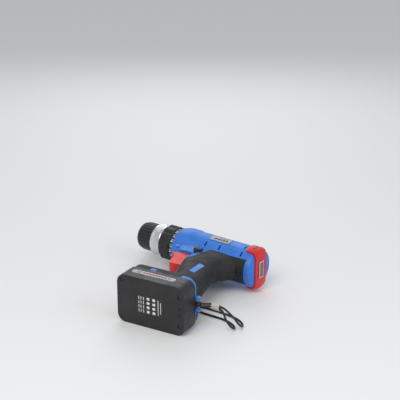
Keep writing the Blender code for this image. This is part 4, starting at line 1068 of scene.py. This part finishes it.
@dataclass
class Studio:
    """Floor, lights and camera.

    Args:
        azimuth: Turn of the camera round the object.
        elevation: Its angle above the floor.
        lens: Its focal length in millimetres.
        sensor: Width of its sensor in millimetres.
        distance: How far it stands from what it aims at.
        near: Nearest distance that it sees.
        aim: Point that it is set by.
        aim_right: Share of the distance by which that point lies right of the middle.
        aim_up: Share of the distance by which it lies above the middle.
        lamps: The lamps.
        lit: Point that the lamps face.
        floor_half: Half the floor's side.
        floor_steps: Squares along the floor.
        floor_color: Its colour.
        floor_rough: Its roughness.
        sky_color: Colour of the light all round.
        sky_strength: Its strength.
    """

    azimuth: float = math.radians(37.3)
    elevation: float = math.radians(20.5)
    lens: float = 97.2
    sensor: float = 36.0
    distance: float = 1.480
    near: float = 0.05
    aim: Vector = field(default_factory=lambda: Vector((-0.07235, 0.07087, 0.0315)))
    aim_right: float = -0.03816
    aim_up: float = -0.03580
    lamps: tuple = (
        Lamp("key", (0.15, -0.75, 0.95), 0.70, 5.5, (1.0, 0.98, 0.95)),
        Lamp("side", (0.95, 0.10, 0.55), 0.60, 2.2, (0.94, 0.97, 1.0)),
        Lamp("back", (-0.55, 0.75, 0.70), 0.80, 2.6, (1.0, 1.0, 1.0)),
    )
    lit: Vector = field(default_factory=lambda: Vector((0.02, 0.0, 0.02)))
    floor_half: float = 12.0
    floor_steps: int = 2
    floor_color: tuple = (0.80, 0.80, 0.80, 1.0)
    floor_rough: float = 0.65
    sky_color: tuple = (0.90, 0.92, 0.95, 1.0)
    sky_strength: float = 0.62

    def camera(self) -> None:
        """Sets the camera by its angles, distance and aim."""
        level = math.cos(self.elevation)
        toward = (math.sin(self.azimuth) * level, -math.cos(self.azimuth) * level)
        view = Vector((*toward, math.sin(self.elevation)))
        right = Vector((math.cos(self.azimuth), math.sin(self.azimuth), 0))
        up = view.cross(right)
        data = bpy.data.cameras.new("camera")
        data.lens = self.lens
        data.sensor_width = self.sensor
        data.clip_start = self.near
        camera = bpy.data.objects.new("camera", data)
        bpy.context.scene.collection.objects.link(camera)
        place = self.aim + self.distance * (view - self.aim_right * right - self.aim_up * up)
        axes = Matrix((right, up, view)).transposed().to_4x4()
        camera.matrix_world = Matrix.Translation(place) @ axes
        bpy.context.scene.camera = camera

    def light(self, lamp: Lamp) -> None:
        """Makes one lamp, facing the drill.

        Args:
            lamp: What it is like.
        """
        data = bpy.data.lights.new(lamp.name, "AREA")
        data.size = lamp.size
        data.energy = lamp.power
        data.color = lamp.color
        obj = bpy.data.objects.new(lamp.name, data)
        obj.location = lamp.place
        obj.rotation_euler = (Vector(lamp.place) - self.lit).to_track_quat("Z", "Y").to_euler()
        bpy.context.scene.collection.objects.link(obj)

    def floor(self) -> None:
        """A pale floor that the drill lies on."""
        shape = bmesh.new()
        bmesh.ops.create_grid(
            shape, x_segments=self.floor_steps, y_segments=self.floor_steps, size=self.floor_half
        )
        mesh = bpy.data.meshes.new("floor")
        shape.to_mesh(mesh)
        shape.free()
        obj = bpy.data.objects.new("floor", mesh)
        bpy.context.scene.collection.objects.link(obj)
        material = bpy.data.materials.new("floor")
        material.use_nodes = True
        shader = material.node_tree.nodes["Principled BSDF"]
        shader.inputs["Base Color"].default_value = self.floor_color
        shader.inputs["Roughness"].default_value = self.floor_rough
        mesh.materials.append(material)

    def build(self) -> None:
        """Makes the whole studio."""
        self.camera()
        self.floor()
        for lamp in self.lamps:
            self.light(lamp)
        world = bpy.data.worlds.new("studio")
        world.use_nodes = True
        background = world.node_tree.nodes["Background"]
        background.inputs["Color"].default_value = self.sky_color
        background.inputs["Strength"].default_value = self.sky_strength
        bpy.context.scene.world = world
        bpy.context.scene.view_settings.view_transform = "Standard"
        LOG.info("studio ready")


def main() -> None:
    """Builds the scene."""
    logging.basicConfig(level=logging.INFO, format="%(message)s")
    Studio().build()
    finishes = Finishes()
    make = Builder(finishes)
    WristCord(finishes).build()
    Carried(finishes).build()
    Chuck(make).build()
    Collar(make).build()
    PackDetails(make).build()
    RearDetails(make).build()


if __name__ == "__main__":
    main()
